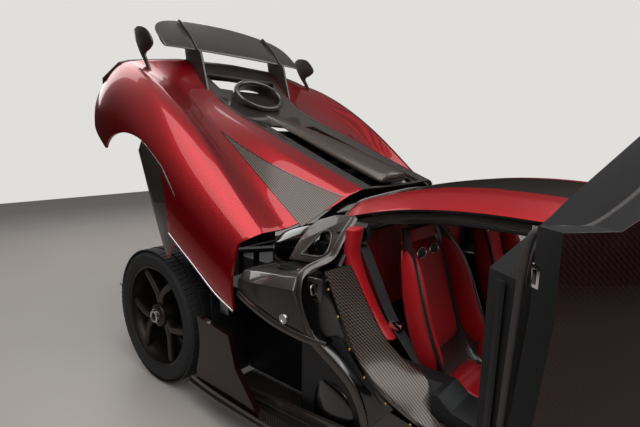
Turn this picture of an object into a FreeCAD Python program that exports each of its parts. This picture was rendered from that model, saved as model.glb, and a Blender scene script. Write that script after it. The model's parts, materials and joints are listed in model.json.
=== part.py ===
import FreeCAD, Part
import math
import os
from collections import namedtuple
from FreeCAD import Vector

# Two-seat mid-engined sports car, lengths in millimetres
# +X points to the nose, +Y to the left side, +Z up, the origin is on the ground under the middle
# Everything is built with lid and doors shut and is then turned to its opened place

# Driving dimensions
HALF_LENGTH = 2280.0
TOW_THREAD_RADIUS = 8.0
TOW_THREAD_DEPTH = 50.0
TOW_EYE_Y = 300.0
WHEELBASE = 2662.0
REAR_AXLE_X = -1455.0
FRONT_AXLE_X = REAR_AXLE_X + WHEELBASE
GROUND_CLEARANCE = 105.0
SHUT_GAP = 8.0
SEAT_GAP = 0.3

# Wheels
REAR_TYRE_RADIUS = 355.0
REAR_TYRE_WIDTH = 335.0
REAR_RIM_RADIUS = 262.0
REAR_TRACK_HALF = 818.0
FRONT_TYRE_RADIUS = 338.0
FRONT_TYRE_WIDTH = 268.0
FRONT_RIM_RADIUS = 248.0
FRONT_TRACK_HALF = 826.0
RIM_WALL = 8.0
RIM_FLANGE = 12.0
RIM_DROP = 14.0
TYRE_WALL = 14.0
WHEEL_PANELS = 48
SPOKE_PLACES = (85.0, 205.0, 325.0)
SPOKE_SPREAD = 31.0
SPOKE_DEPTH = 34.0
SPOKE_STEM_WIDTH = 84.0
SPOKE_BRANCH_WIDTH = 46.0
SPOKE_TIP_WIDTH = 40.0
FORK_SHARE = 0.46
HUB_RADIUS = 62.0
NUT_RADIUS = 34.0
NUT_LENGTH = 44.0
DISC_THICKNESS = 32.0
DISC_MARGIN = 46.0
STUB_RADIUS = 30.0
ARCH_MARGIN = 45.0
BLADE_CLEARANCE = 6.0
BLADE_THICKNESS = 8.0

# Body walls
SKIN = 10.0
TUB_WALL = 30.0
JACK_PAD = 10.0
SILL_HEIGHT = 400.0
SILL_REAR_HEIGHT = 440.0
SILL_OUTER = 850.0
SILL_STEP = 796.0
SILL_STEP_HEIGHT = 330.0
SILL_INNER = 640.0
SILL_FRONT_X = 735.0
TUB_REAR_X = -520.0
TUB_FRONT_X = 960.0
HOOP_BASE = 900.0
BULKHEAD_HEIGHT = HOOP_BASE - SEAT_GAP
DASH_HEIGHT = 640.0
TUNNEL_TOP = 330.0

# Opening lid over the engine
LID_HINGE = Vector(-530.0, 0.0, 945.0)
LID_ARM_Y = 300.0
LID_ARM_HALF = 6.0
LID_PIN_RADIUS = 8.0
HINGE_EAR = 10.0
LID_ANGLE = 30.0
LID_SKIN = 12.0
TAIL_DEPTH = 22.0
HOOP_LENGTH = 112.0
HOOP_WIDTH = 188.0
HOOP_X = -1857.0
HOOP_RISE = 50.0
HOOP_LEAN = 21.5
HOOP_SKIRT = 70.0

# Doors on swinging arms
DOOR_ARM_AXIS = Vector(750.0, 780.0, 0.0)
DOOR_PIVOT = Vector(392.0, 780.0, 712.0)
DOOR_SWING = 55.0
DOOR_ROLL = 90.0
DOOR_SKIN = 46.0
DOOR_TRIM_INNER = 806.0
DOOR_GLASS = 6.0
ARM_RADIUS = 20.0
ARM_BOSS_RADIUS = 30.0
ARM_BOSS_HALF = 30.0
HINGE_LUG = 10.0
PIVOT_RADIUS = 16.0
PIVOT_BOSS = 34.0
PIVOT_REACH = 76.0
PIN_GAP = 0.4

# Front luggage lid
BONNET_HINGE = Vector(1976.0, 0.0, 512.0)
BONNET_FRONT_X = 1976.0
BONNET_PLAN = ((1180, -400), (1180, 400), (1400, 470), (1880, 430), (2014, 300), (2014, -300), (1880, -430),
               (1400, -470))
SEAT_Y = 375.0
PLEAT_PITCH = 70
WING_X = -2300.0
WING_Z = 1062.0
WING_CHORD = 330.0
WING_TILT = 15.0
WING_HALF_SPAN = 585.0
PYLON_Y = 362.0
PYLON_BASE_X = -1930.0
WINGLET_Y = 692.0
WINGLET_X = -2035.0
BONNET_ARM_Y = 150.0

ClamStation = namedtuple("ClamStation", "x low side shoulder crest inner valley flank ridge rail centre")
CLAM = (
    ClamStation(-560, (962, 450), (975, 510), (955, 610), (890, 715), (835, 745), (700, 752), (560, 850), (430, 975),
                (345, 1012), 1000),
    ClamStation(-850, (992, 480), (1006, 545), (986, 660), (895, 765), (830, 790), (690, 772), (560, 830), (435, 935),
                (345, 965), 945),
    ClamStation(-1150, (1012, 500), (1022, 590), (1000, 730), (880, 835), (805, 852), (680, 805), (560, 825),
                (435, 905), (345, 925), 895),
    ClamStation(-1455, (1012, 520), (1024, 650), (1000, 800), (865, 895), (785, 905), (675, 845), (560, 830),
                (435, 868), (345, 882), 845),
    ClamStation(-1800, (985, 505), (1008, 640), (975, 810), (850, 915), (785, 925), (680, 875), (560, 820),
                (435, 826), (345, 830), 790),
    ClamStation(-2050, (950, 495), (970, 610), (935, 780), (830, 890), (775, 905), (680, 890), (560, 880),
                (435, 882), (345, 885), 880),
    ClamStation(-2190, (885, 485), (905, 580), (875, 740), (800, 850), (750, 870), (680, 885), (560, 905),
                (435, 925), (345, 932), 940),
)

NOSE_REAR_X = 755.0
NoseStation = namedtuple("NoseStation", "x low side shoulder crest inner valley bonnet centre")
NOSE = (
    NoseStation(NOSE_REAR_X, (930, 150), (985, 420), (965, 660), (830, 765), (740, 775), (570, 735), (300, 750), 760),
    NoseStation(1207, (930, 150), (1002, 420), (985, 650), (835, 772), (735, 778), (530, 680), (270, 705), 718),
    NoseStation(1600, (900, 135), (985, 380), (965, 600), (830, 722), (730, 732), (500, 630), (260, 650), 662),
    NoseStation(1900, (840, 135), (930, 330), (915, 500), (800, 610), (700, 622), (480, 560), (250, 572), 582),
    NoseStation(2130, (660, 135), (770, 270), (765, 370), (690, 455), (600, 470), (400, 455), (200, 465), 470),
    NoseStation(2262, (330, 190), (430, 245), (435, 300), (400, 345), (330, 362), (220, 372), (110, 378), 380),
)

DoorStation = namedtuple("DoorStation", "x low side waist rail")
DOOR = (
    DoorStation(760, (885, 345), (935, 490), (880, 748), (690, 800)),
    DoorStation(400, (935, 345), (985, 500), (885, 772), (606, 1040)),
    DoorStation(50, (975, 345), (1000, 510), (875, 790), (618, 1034)),
    DoorStation(-250, (975, 345), (990, 516), (868, 797), (622, 1008)),
    DoorStation(-400, (975, 345), (985, 520), (865, 800), (625, 966)),
)

RoofStation = namedtuple("RoofStation", "x rail side centre")
ROOF = (
    RoofStation(351.7, (606, 1034), (450, 1078), 1090),
    RoofStation(50, (622, 1046), (470, 1096), 1108),
    RoofStation(-250, (622, 1020), (470, 1076), 1090),
    RoofStation(-550, (560, 942), (430, 1002), 1024),
)

# The glass wraps round to the doors, so its pillar stands far back
ScreenStation = namedtuple("ScreenStation", "x edge belt side centre")
SCREEN = (
    ScreenStation(190, (872, 782), (742, 926), (604, 1036), 1096),
    ScreenStation(352, (868, 778), (735, 920), (600, 1030), 1086),
    ScreenStation(600, (858, 772), (712, 858), (520, 955), 1006),
    ScreenStation(850, (770, 764), (640, 802), (430, 862), 892),
    ScreenStation(1090, (420, 728), (350, 742), (230, 758), 766),
)

# Side outlines of the door opening, the door's padded inner part and its glass, x and z
DOOR_OUTLINE = (
    (600, 345), (NOSE_REAR_X - SHUT_GAP, 560), (NOSE_REAR_X - SHUT_GAP, 752), (352, 766), (215, 1030), (50, 1034),
    (-250, 1008), (-392, 966), (-350, 820), (-160, 560), (-75, 430), (-75, 345),
)
TRIM_OUTLINE = ((470, 360), (640, 560), (640, 655), (-205, 655), (-60, 480), (20, 360))
DOOR_GLASS_OUTLINE = ((308, 796), (205, 1002), (44, 1008), (-236, 984), (-350, 946), (-318, 830))

# Wishbones and uprights
KINGPIN_Y = 665.0
UPRIGHT_HALF = 130.0
BALL_RADIUS = 15.0
ARM_TUBE = 12.0
CALIPER_GAP = 6.0
REAR_POST_Y = 402.0
REAR_ARM_SPREAD = 140.0
BEAM_DEPTH = 130.0
BEAM_FRONT_X = BEAM_DEPTH - HALF_LENGTH
REAR_CROSS_X = BEAM_FRONT_X + 90.0
LINER_STAY_Y = 640.0
QUARTER_INNER = 948.0
QUARTER_THICK = 27.0
LINER_OUTER_Y = QUARTER_INNER - 18.0
SPLITTER_TOP = 134.7
BLADE_TOP = GROUND_CLEARANCE + 16.0
DUCT_FRONT_BOTTOM = 540.0

parts = {}


def polygon(points):
    return Part.makePolygon(points + [points[0]])


def mirrored_path(half):
    return [(-y, z) for y, z in half] + [(y, z) for y, z in reversed(half) if y > 0]


def inset(path, wall):
    inner = []
    for i, (y, z) in enumerate(path):
        before = path[max(i - 1, 0)]
        after = path[min(i + 1, len(path) - 1)]
        normals = []
        for start, end in ((before, (y, z)), ((y, z), after)):
            length = math.hypot(end[0] - start[0], end[1] - start[1])
            if length > 0:
                normals.append(((end[1] - start[1]) / length, -(end[0] - start[0]) / length))
        ny = sum(n[0] for n in normals) / len(normals)
        nz = sum(n[1] for n in normals) / len(normals)
        scale = wall / (ny * ny + nz * nz)
        inner.append((y + ny * scale, z + nz * scale))
    return inner


def skinned(rings, closed=False, turned=()):
    # Joins rings of points by flat three-cornered panels, which stay exact where a strip twists
    # The strips in turned are split the other way, so that both sides match and a wall keeps its thickness
    faces = []
    spans = list(zip(rings, rings[1:] + rings[:1])) if closed else list(zip(rings, rings[1:]))
    for near, far in spans:
        count = len(near)
        for j in range(count):
            k = (j + 1) % count
            if j in turned:
                panels = ((near[j], near[k], far[j]), (near[k], far[k], far[j]))
            else:
                panels = ((near[j], near[k], far[k]), (near[j], far[k], far[j]))
            for corners in panels:
                distinct = all(a.distanceToPoint(b) > 1e-6 for a, b in zip(corners, corners[1:] + corners[:1]))
                if distinct:
                    faces.append(Part.Face(polygon(list(corners))))
    if not closed:
        faces += [Part.Face(polygon(ring)) for ring in (list(reversed(rings[0])), list(rings[-1]))]
    surface = Part.makeShell(faces)
    surface.sewShape()
    solid = Part.makeSolid(surface)
    if solid.Volume < 0:
        solid.reverse()
    return solid


def shell(stations, halves, wall):
    rings = []
    for station, half in zip(stations, halves):
        path = mirrored_path(half)
        rings.append([Vector(station.x, y, z) for y, z in path + list(reversed(inset(path, wall)))])
    count = len(path)
    middle = count // 2
    turned = set(range(middle, count)) | set(range(count + middle, 2 * count - 1))
    return skinned(rings, turned=turned)


def solid_loft(sections):
    return skinned([[Vector(x, y, z) for y, z in points] for x, points in sections])


def ring_solid(profile):
    # Turns a profile of radius and offset round the Y axis in flat panels, like a many-sided wheel
    rings = []
    for i in range(WHEEL_PANELS):
        a = 2 * math.pi * (i + 0.5) / WHEEL_PANELS
        rings.append([Vector(r * math.cos(a), y, r * math.sin(a)) for r, y in profile])
    return skinned(rings, True)


def largest(shape):
    return max(shape.Solids, key=lambda solid: solid.Volume)


def box(x, y, z):
    return Part.makeBox(x[1] - x[0], y[1] - y[0], z[1] - z[0], Vector(x[0], y[0], z[0]))


def side_prism(points, y):
    face = Part.Face(polygon([Vector(px, y[0], pz) for px, pz in points]))
    return face.extrude(Vector(0, y[1] - y[0], 0))


def plan_prism(points, z):
    face = Part.Face(polygon([Vector(px, py, z[0]) for px, py in points]))
    return face.extrude(Vector(0, 0, z[1] - z[0]))


def bar(points, radius):
    # Tube along the points, with eight flats and lapped corners
    pieces = []
    for i, (start, end) in enumerate(zip(points, points[1:])):
        along = (end - start).normalize()
        across = along.cross(Vector(0, 0, 1) if abs(along.z) < 0.9 else Vector(1, 0, 0)).normalize()
        rise = across.cross(along)
        last = i == len(points) - 2
        reach = end if last else end + along * (radius / 2)
        ring = [across * (radius * math.cos(math.pi * (k + 0.5) / 4)) + rise * (radius * math.sin(math.pi * (k + 0.5) / 4))
                for k in range(8)]
        pieces.append(skinned([[start + v for v in ring], [reach + v for v in ring]]))
    return pieces[0].fuse(pieces[1:]) if len(pieces) > 1 else pieces[0]


def mirror(shape):
    return shape.mirror(Vector(0, 0, 0), Vector(0, 1, 0))


def both(shape):
    return Part.makeCompound([shape, mirror(shape)])


def axle(radius, y, x, z):
    return Part.makeCylinder(radius, y[1] - y[0], Vector(x, y[0], z), Vector(0, 1, 0))


def outline_inset(points, gap):
    # Moves a counter-clockwise side outline inwards by the gap
    moved = []
    count = len(points)
    area = sum(points[i][0] * points[(i + 1) % count][1] - points[(i + 1) % count][0] * points[i][1]
               for i in range(count))
    turn = 1.0 if area > 0 else -1.0
    for i, (x, z) in enumerate(points):
        before = points[i - 1]
        after = points[(i + 1) % count]
        n1 = (-(z - before[1]), x - before[0])
        n2 = (-(after[1] - z), after[0] - x)
        l1 = math.hypot(*n1)
        l2 = math.hypot(*n2)
        nx = (n1[0] / l1 + n2[0] / l2) / 2
        nz = (n1[1] / l1 + n2[1] / l2) / 2
        scale = turn * gap / (nx * nx + nz * nz)
        moved.append((x + nx * scale, z + nz * scale))
    return moved


# Outer forms
def clam_half(s):
    return [s.low, s.side, s.shoulder, s.crest, s.inner, s.valley, s.flank, s.ridge, s.rail, (0, s.centre)]


def nose_half(s):
    return [s.low, s.side, s.shoulder, s.crest, s.inner, s.valley, s.bonnet, (0, s.centre)]


def roof_half(s):
    return [s.rail, s.side, (0, s.centre)]


def screen_half(s):
    return [s.edge, s.belt, s.side, (0, s.centre)]


def arch(x, z, radius, y):
    return axle(radius, y, x, z)


REAR_ARCH_RADIUS = REAR_TYRE_RADIUS + ARCH_MARGIN
FRONT_ARCH_RADIUS = FRONT_TYRE_RADIUS + ARCH_MARGIN


def build_clam():
    skin = shell(CLAM, [clam_half(s) for s in CLAM], LID_SKIN)
    # The front edge runs from the low tip back over the shoulder and up to the roof
    front_edge = ((-578, 380), (-578, 470), (-735, 700), (-660, 890), (-622, 1100), (-300, 1100), (-300, 380))
    skin = skin.cut(side_prism(front_edge, (-1100, 1100)))
    for side in (-1, 1):
        wheel_y = sorted((side * 560, side * 1100))
        skin = skin.cut(arch(REAR_AXLE_X, REAR_TYRE_RADIUS, REAR_ARCH_RADIUS, wheel_y))
    # Slot in the middle for the glazed louvre and the open tail gap
    window = plan_prism(((-660, -250), (-660, 250), (-1500, 215), (-1500, -215)), (600, 1200))
    tail_gap = plan_prism(((-1960, -250), (-1960, 250), (-2080, 300), (-2080, -300)), (600, 1200))
    skin = largest(skin.cut([window, tail_gap]))
    # Hinge arms run forward under the roof's rear edge
    top = clam_height(-640, LID_ARM_Y)
    pin = LID_HINGE
    for y in (LID_ARM_Y, -LID_ARM_Y):
        arm = side_prism(((pin.x + 12, pin.z - 12), (pin.x + 12, pin.z + 12), (-620, top - 8), (-700, top - 14),
                          (-700, top - 40), (-620, top - 50)), (y - LID_ARM_HALF, y + LID_ARM_HALF))
        shaft = axle(LID_PIN_RADIUS, (y - LID_ARM_HALF - HINGE_EAR, y + LID_ARM_HALF + HINGE_EAR), pin.x, pin.z)
        skin = skin.fuse([arm, shaft])
    return skin


def build_tail():
    # Upright rear band under the edge of the deck
    s = CLAM[-1]
    top = mirrored_path([s.shoulder, s.crest, s.inner, s.valley, s.flank, s.ridge, s.rail, (0, s.centre)])
    band = [(y, z - 1) for y, z in top] + [(y * 0.97, z - 120) for y, z in reversed(top)]
    return solid_loft([(x, band) for x in (s.x - SEAT_GAP, s.x - TAIL_DEPTH)])


def clam_depth(s, y):
    # Height of the lid's outer face at a width, between the table's points
    half = sorted(clam_half(s))
    for (y0, z0), (y1, z1) in zip(half, half[1:]):
        if y0 <= y <= y1:
            return z0 + (z1 - z0) * (y - y0) / (y1 - y0)
    return half[-1][1]


def clam_height(x, y):
    for front, rear in zip(CLAM, CLAM[1:]):
        if rear.x <= x <= front.x:
            share = (front.x - x) / (front.x - rear.x)
            return clam_depth(front, y) * (1 - share) + clam_depth(rear, y) * share
    return clam_depth(CLAM[-1], y)


def wing_profile(x, y, z, chord, tilt):
    # Inverted aerofoil with its nose at +X
    shape = ((0.5, 0.0), (0.38, 0.035), (0.1, 0.045), (-0.25, 0.03), (-0.5, 0.012), (-0.5, 0.0),
             (-0.25, -0.03), (0.1, -0.075), (0.38, -0.05))
    c = math.cos(math.radians(tilt))
    s = math.sin(math.radians(tilt))
    return [Vector(x + chord * (px * c + pz * s), y, z + chord * (-px * s + pz * c)) for px, pz in shape]


def build_wing():
    # Span share, chord share and drop; the nose line stays straight while the tail line bows
    stations = ((1.0, 0.42, -10.0), (0.93, 0.68, -6.0), (0.75, 0.86, -3.0), (0.4, 0.97, 0.0))
    half = [(-span, chord, lift) for span, chord, lift in stations] + [(0.0, 1.0, 0.0)]
    nose = WING_X + WING_CHORD / 2 * math.cos(math.radians(WING_TILT))
    low = WING_Z - WING_CHORD / 2 * math.sin(math.radians(WING_TILT))
    rings = []
    for span, chord, lift in half + [(-span, chord, lift) for span, chord, lift in reversed(half[:-1])]:
        size = WING_CHORD * chord
        rings.append(wing_profile(nose - size / 2 * math.cos(math.radians(WING_TILT)), WING_HALF_SPAN * span,
                                  low + lift + size / 2 * math.sin(math.radians(WING_TILT)), size, WING_TILT))
    return skinned(rings)


def build_pylon(clam, wing, tail):
    # Curved blade that rises from the rail and holds the wing from above
    base = clam_height(PYLON_BASE_X, PYLON_Y)
    front = ((PYLON_BASE_X + 25, base - 8), (PYLON_BASE_X - 80, base + 88), (PYLON_BASE_X - 160, base + 168),
             (WING_X + 168, WING_Z - 24), (WING_X + 70, WING_Z + 16), (WING_X - 40, WING_Z + 40),
             (WING_X - 108, WING_Z + 52))
    back = ((WING_X - 118, WING_Z + 36), (WING_X - 30, WING_Z + 10), (WING_X + 20, WING_Z - 20),
            (WING_X + 36, WING_Z - 84), (WING_X + 86, WING_Z - 150), (WING_X + 130, base - 40))
    blade = side_prism(front + back, (PYLON_Y - 9, PYLON_Y + 9))
    return largest(blade.cut([clam, wing, tail]))


def build_winglet(clam):
    x = WINGLET_X
    base = clam_height(x, WINGLET_Y)
    plate = side_prism(((x - 50, base + 146), (x - 82, base + 172), (x - 162, base + 192), (x - 258, base + 160),
                        (x - 283, base + 116), (x - 160, base + 34), (x - 112, base + 48)),
                       (WINGLET_Y - 6, WINGLET_Y + 6))
    stalk = side_prism(((x + 22, base - 10), (x - 112, base + 64), (x - 165, base + 44), (x - 40, base - 14)),
                       (WINGLET_Y - 6, WINGLET_Y + 6))
    return largest(plate.fuse(stalk).cut(clam))


def build_hoop(clam):
    # Raised oval ring where the two rails meet
    x0 = HOOP_X
    z0 = clam_height(x0, 100) + HOOP_RISE
    rings = []
    for i in range(32):
        a = 2 * math.pi * i / 32
        along, across = math.cos(a), math.sin(a)
        rings.append([Vector(along * (HOOP_LENGTH + dr), across * (HOOP_WIDTH + dr), dz)
                      for dr, dz in ((-18, -9), (-9, -18), (9, -18), (18, -9), (18, 9), (9, 18), (-9, 18), (-18, 9))])
    # A thin wall under the ring closes it onto the lid
    walls = [[Vector(math.cos(a) * (HOOP_LENGTH + dr), math.sin(a) * (HOOP_WIDTH + dr), dz)
              for dr, dz in ((-6, -HOOP_SKIRT), (6, -HOOP_SKIRT), (6, 0), (-6, 0))]
             for a in [2 * math.pi * i / 32 for i in range(32)]]
    ring = skinned(rings, True).fuse(skinned(walls, True))
    ring.rotate(Vector(0, 0, 0), Vector(0, 1, 0), HOOP_LEAN)
    ring.translate(Vector(x0, 0, z0))
    return largest(ring.cut(clam))


def build_spine(lid_shell):
    # Louvred window between the rails
    slats = []
    for i in range(7):
        x = -700.0 - 115.0 * i
        z = clam_height(x, 0) - 26.0
        slats.append(box((x - 92, x), (-(232 - 4 * i), 232 - 4 * i), (z - 6, z)))
    rows = []
    for x in (-690.0, -1490.0):
        z = clam_height(x, 0)
        rows.append((x, [(-14, z - 40), (14, z - 40), (14, z - 8), (-14, z - 8)]))
    spine = solid_loft(rows).cut(lid_shell)
    # Side rails close under the edges of the slot and carry the slats
    for side in (-1, 1):
        edge_rows = []
        for x in (-668.0, -850.0, -1150.0, -1455.0, -1495.0):
            y = 250.0 + (x + 660.0) / 24.0
            inner = side * (y - 24.0)
            outer = side * (y + 10.0)
            top = (clam_height(x, y + 10.0) - LID_SKIN - 0.4, clam_height(x, y - 24.0) - LID_SKIN - 0.4)
            edge_rows.append((x, [(inner, top[1] - 26.0), (outer, top[0] - 26.0), (outer, top[0]), (inner, top[1])]))
        slats.append(solid_loft(edge_rows))
    return largest(spine.fuse(slats).cut(lid_shell))


def spoke(radius, depth):
    # One forked spoke that points to +X, its faces at y 0 and -depth
    fork = radius * FORK_SHARE
    stem = ((HUB_RADIUS * 0.5, -SPOKE_STEM_WIDTH / 2), (fork, -SPOKE_STEM_WIDTH * 0.42),
            (fork * 1.16, 0.0), (fork, SPOKE_STEM_WIDTH * 0.42), (HUB_RADIUS * 0.5, SPOKE_STEM_WIDTH / 2))
    pieces = [side_prism(stem, (-depth, 0))]
    for side in (-1, 1):
        angle = math.radians(SPOKE_SPREAD) * side
        tip = (radius * math.cos(angle), radius * math.sin(angle))
        root = (fork * 0.80, side * SPOKE_STEM_WIDTH * 0.16)
        length = math.hypot(tip[0] - root[0], tip[1] - root[1])
        nx = -(tip[1] - root[1]) / length
        nz = (tip[0] - root[0]) / length
        branch = ((root[0] + nx * SPOKE_BRANCH_WIDTH / 2, root[1] + nz * SPOKE_BRANCH_WIDTH / 2),
                  (tip[0] + nx * SPOKE_TIP_WIDTH / 2, tip[1] + nz * SPOKE_TIP_WIDTH / 2),
                  (tip[0] - nx * SPOKE_TIP_WIDTH / 2, tip[1] - nz * SPOKE_TIP_WIDTH / 2),
                  (root[0] - nx * SPOKE_BRANCH_WIDTH / 2, root[1] - nz * SPOKE_BRANCH_WIDTH / 2))
        pieces.append(side_prism(branch, (-depth, 0)))
    return pieces[0].fuse(pieces[1:])


def revolve(points):
    face = Part.Face(polygon([Vector(r, y, 0) for r, y in points]))
    return face.revolve(Vector(0, 0, 0), Vector(0, 1, 0), 360)


def build_rim(rim_radius, width):
    # Wheel with its outer face at -Y, centred on its middle plane
    half = width / 2 - 14.0
    barrel = ring_solid(((rim_radius + RIM_FLANGE, -half), (rim_radius + RIM_FLANGE, -half + 10),
                         (rim_radius - RIM_DROP, -half + 60), (rim_radius - RIM_DROP, half - 40),
                         (rim_radius + RIM_FLANGE, half - 10), (rim_radius + RIM_FLANGE, half),
                         (rim_radius - RIM_WALL, half - 12), (rim_radius - RIM_DROP - RIM_WALL, half - 42),
                         (rim_radius - RIM_DROP - RIM_WALL, -half + 62), (rim_radius - RIM_WALL, -half + 2)))
    face_y = -half + 14.0
    inside = rim_radius - RIM_WALL
    star = spoke(inside, SPOKE_DEPTH)
    spokes = []
    for place in SPOKE_PLACES:
        piece = star.copy()
        piece.rotate(Vector(0, 0, 0), Vector(0, 1, 0), -place)
        piece.translate(Vector(0, face_y + SPOKE_DEPTH, 0))
        spokes.append(piece)
    hub = axle(HUB_RADIUS, (face_y - 2, half - 60), 0, 0)
    nut = axle(NUT_RADIUS, (face_y - 2 - NUT_LENGTH / 2, face_y), 0, 0)
    cup = axle(NUT_RADIUS - 12, (face_y - 4 - NUT_LENGTH / 2, face_y - 14), 0, 0)
    keep = revolve(((0, -width), (rim_radius - RIM_WALL / 2, -width), (rim_radius - RIM_WALL / 2, width), (0, width)))
    face = spokes[0].fuse(spokes[1:] + [hub, nut]).common(keep).cut(cup)
    disc = axle(rim_radius - DISC_MARGIN, (half - 92 - DISC_THICKNESS, half - 92), 0, 0)
    rim = barrel.fuse([face, disc])
    return rim.cut(axle(STUB_RADIUS, (-half + 70, half), 0, 0))


def build_tyre(radius, width, rim_radius):
    half = width / 2
    seat = rim_radius / math.cos(math.pi / WHEEL_PANELS) + SEAT_GAP
    edge = radius / math.cos(math.pi / WHEEL_PANELS)
    tread = ((seat, -half + 30), (seat, -half + 10), (rim_radius + 26, -half), (edge - 34, -half),
             (edge - 10, -half + 18), (edge, -half + 60), (edge, half - 60),
             (edge - 10, half - 18), (edge - 34, half), (rim_radius + 26, half), (seat, half - 10),
             (seat, half - 30), (edge - TYRE_WALL - 6, half - 34), (edge - TYRE_WALL - 6, -half + 34))
    return ring_solid(tread)


def place_wheel(shape, x, y, z):
    wheel = shape if y < 0 else mirror(shape)
    wheel = wheel.copy()
    wheel.translate(Vector(x, y, z))
    return wheel


def build_tub():
    plan = ((TUB_REAR_X, -SILL_OUTER), (SILL_FRONT_X, -SILL_OUTER), (SILL_FRONT_X, -SILL_INNER), (800, -470),
            (TUB_FRONT_X, -470), (TUB_FRONT_X, 470), (800, 470), (SILL_FRONT_X, SILL_INNER),
            (SILL_FRONT_X, SILL_OUTER), (TUB_REAR_X, SILL_OUTER))
    floor = plan_prism(plan, (GROUND_CLEARANCE, GROUND_CLEARANCE + TUB_WALL))
    # The sill steps down outside the door's padded inner part
    sill = side_prism(((TUB_REAR_X, GROUND_CLEARANCE), (SILL_FRONT_X, GROUND_CLEARANCE), (SILL_FRONT_X, 300),
                       (90, SILL_HEIGHT), (40, SILL_REAR_HEIGHT), (TUB_REAR_X, SILL_REAR_HEIGHT)),
                      (SILL_INNER, SILL_STEP))
    step = side_prism(((-330, GROUND_CLEARANCE), (SILL_FRONT_X, GROUND_CLEARANCE), (SILL_FRONT_X, 290),
                       (500, SILL_STEP_HEIGHT), (-110, SILL_STEP_HEIGHT), (-330, DUCT_FRONT_BOTTOM - SEAT_GAP),
                       (TUB_REAR_X, DUCT_FRONT_BOTTOM - SEAT_GAP), (TUB_REAR_X, GROUND_CLEARANCE)), (SILL_STEP, SILL_OUTER))
    sill = sill.fuse(step)
    pads = [box((x - 40, x + 40), (y - 30, y + 30), (GROUND_CLEARANCE - JACK_PAD, GROUND_CLEARANCE))
            for x in (-440, 660) for y in (-745, 745)]
    rear = box((TUB_REAR_X, TUB_REAR_X + TUB_WALL), (-SILL_INNER - 5, SILL_INNER + 5), (GROUND_CLEARANCE, BULKHEAD_HEIGHT))
    front = box((TUB_FRONT_X - TUB_WALL, TUB_FRONT_X), (-470, 470), (GROUND_CLEARANCE, DASH_HEIGHT))
    tunnel = box((-500, 900), (-110, 110), (GROUND_CLEARANCE, TUNNEL_TOP))
    return floor.fuse([sill, mirror(sill), rear, front, tunnel] + pads)


def rectangle_rail(stations):
    # Rail along X with a rectangular section, given x, y, z, width and height
    rows = [(x, [(y - w / 2, z - h / 2), (y + w / 2, z - h / 2), (y + w / 2, z + h / 2), (y - w / 2, z + h / 2)])
            for x, y, z, w, h in stations]
    return solid_loft(rows)


def pillar(stations):
    # Post with level sections, given z, x, y, length and width
    return skinned([[Vector(x - a / 2, y - b / 2, z), Vector(x + a / 2, y - b / 2, z), Vector(x + a / 2, y + b / 2, z),
                     Vector(x - a / 2, y + b / 2, z)] for z, x, y, a, b in stations])


def build_cabin_frame():
    rail = rectangle_rail(((330, 570, 1003, 46, 40), (0, 580, 1019, 46, 36), (-300, 572, 973, 50, 44),
                           (-470, 540, 913, 60, 60)))
    front_post = pillar(((762, 382, 800, 30, 56), (900, 312, 698, 30, 56), (1006, 254, 560, 34, 50)))
    post = pillar(((SILL_REAR_HEIGHT + SEAT_GAP, -120, 750, 300, 80), (640, -330, 745, 150, 76),
                   (800, -420, 720, 100, 100), (940, -440, 560, 90, 70)))
    hoop = rectangle_rail(((-500, 0, HOOP_BASE + 20, 1100, 40), (-440, 0, HOOP_BASE + 50, 1000, 50)))
    pieces = [post, front_post]
    for base in (DOOR_PIVOT.z - ARM_BOSS_HALF - SEAT_GAP - HINGE_LUG, DOOR_PIVOT.z + ARM_BOSS_HALF + SEAT_GAP):
        pieces.append(box((DOOR_ARM_AXIS.x - 34, DOOR_ARM_AXIS.x + 34), (600, DOOR_ARM_AXIS.y + 30),
                          (base, base + HINGE_LUG)))
    top = DOOR_PIVOT.z + ARM_BOSS_HALF
    pieces.append(box((SILL_FRONT_X + SEAT_GAP, SILL_FRONT_X + 46), (600, 700), (GROUND_CLEARANCE + TUB_WALL, top)))
    pieces.append(bar([Vector(SILL_FRONT_X + 20, 670, top - 20), Vector(560, 700, 735), Vector(378, 778, 776)], 15))
    for y in (LID_ARM_Y - LID_ARM_HALF - HINGE_EAR, LID_ARM_Y + LID_ARM_HALF + SEAT_GAP):
        pieces.append(box((LID_HINGE.x - 14, -499), (y, y + HINGE_EAR - SEAT_GAP), (HOOP_BASE + 2, LID_HINGE.z + 14)))
    frame = both(rail.fuse(pieces)).fuse(hoop)
    bores = [axle(LID_PIN_RADIUS + PIN_GAP, sorted((side * 200, side * 400)), LID_HINGE.x, LID_HINGE.z) for side in (-1, 1)]
    return frame.cut(bores)


def build_roof():
    return shell(ROOF, [roof_half(s) for s in ROOF], SKIN)


def build_windscreen():
    glass = shell(SCREEN, [screen_half(s) for s in SCREEN], DOOR_GLASS)
    under_roof = plan_prism(((180, -616), (352, -612), (352, 612), (180, 616)), (900, 1200))
    behind_pillar = both(side_prism(((180, 740), (368, 740), (368, 768), (231, 1032), (231, 1100), (180, 1100)),
                                    (500, 1000)))
    return largest(glass.cut([under_roof, behind_pillar]))


def seat_profile(y, grow):
    back = ((-330, 930), (-200, 930), (-165, 760), (-60, 400), (330, 330), (360, 250), (330, 215), (-120, 185),
            (-200, 240), (-290, 600))
    return side_prism(back, (y - grow, y + grow))


def build_seat_shell():
    outer = seat_profile(SEAT_Y, 245)
    hollow_points = ((-300, 1000), (-120, 1000), (-120, 760), (-20, 470), (400, 400), (400, 255), (320, 240),
                     (-100, 215), (-170, 270), (-262, 610))
    hollow = side_prism(hollow_points, (SEAT_Y - 235, SEAT_Y + 235))
    floor = GROUND_CLEARANCE + TUB_WALL + SEAT_GAP
    rails = [box((-60, 260), (SEAT_Y + y - 12, SEAT_Y + y + 12), (floor, 206)) for y in (-150, 150)]
    return outer.cut(hollow).fuse(rails)


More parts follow.
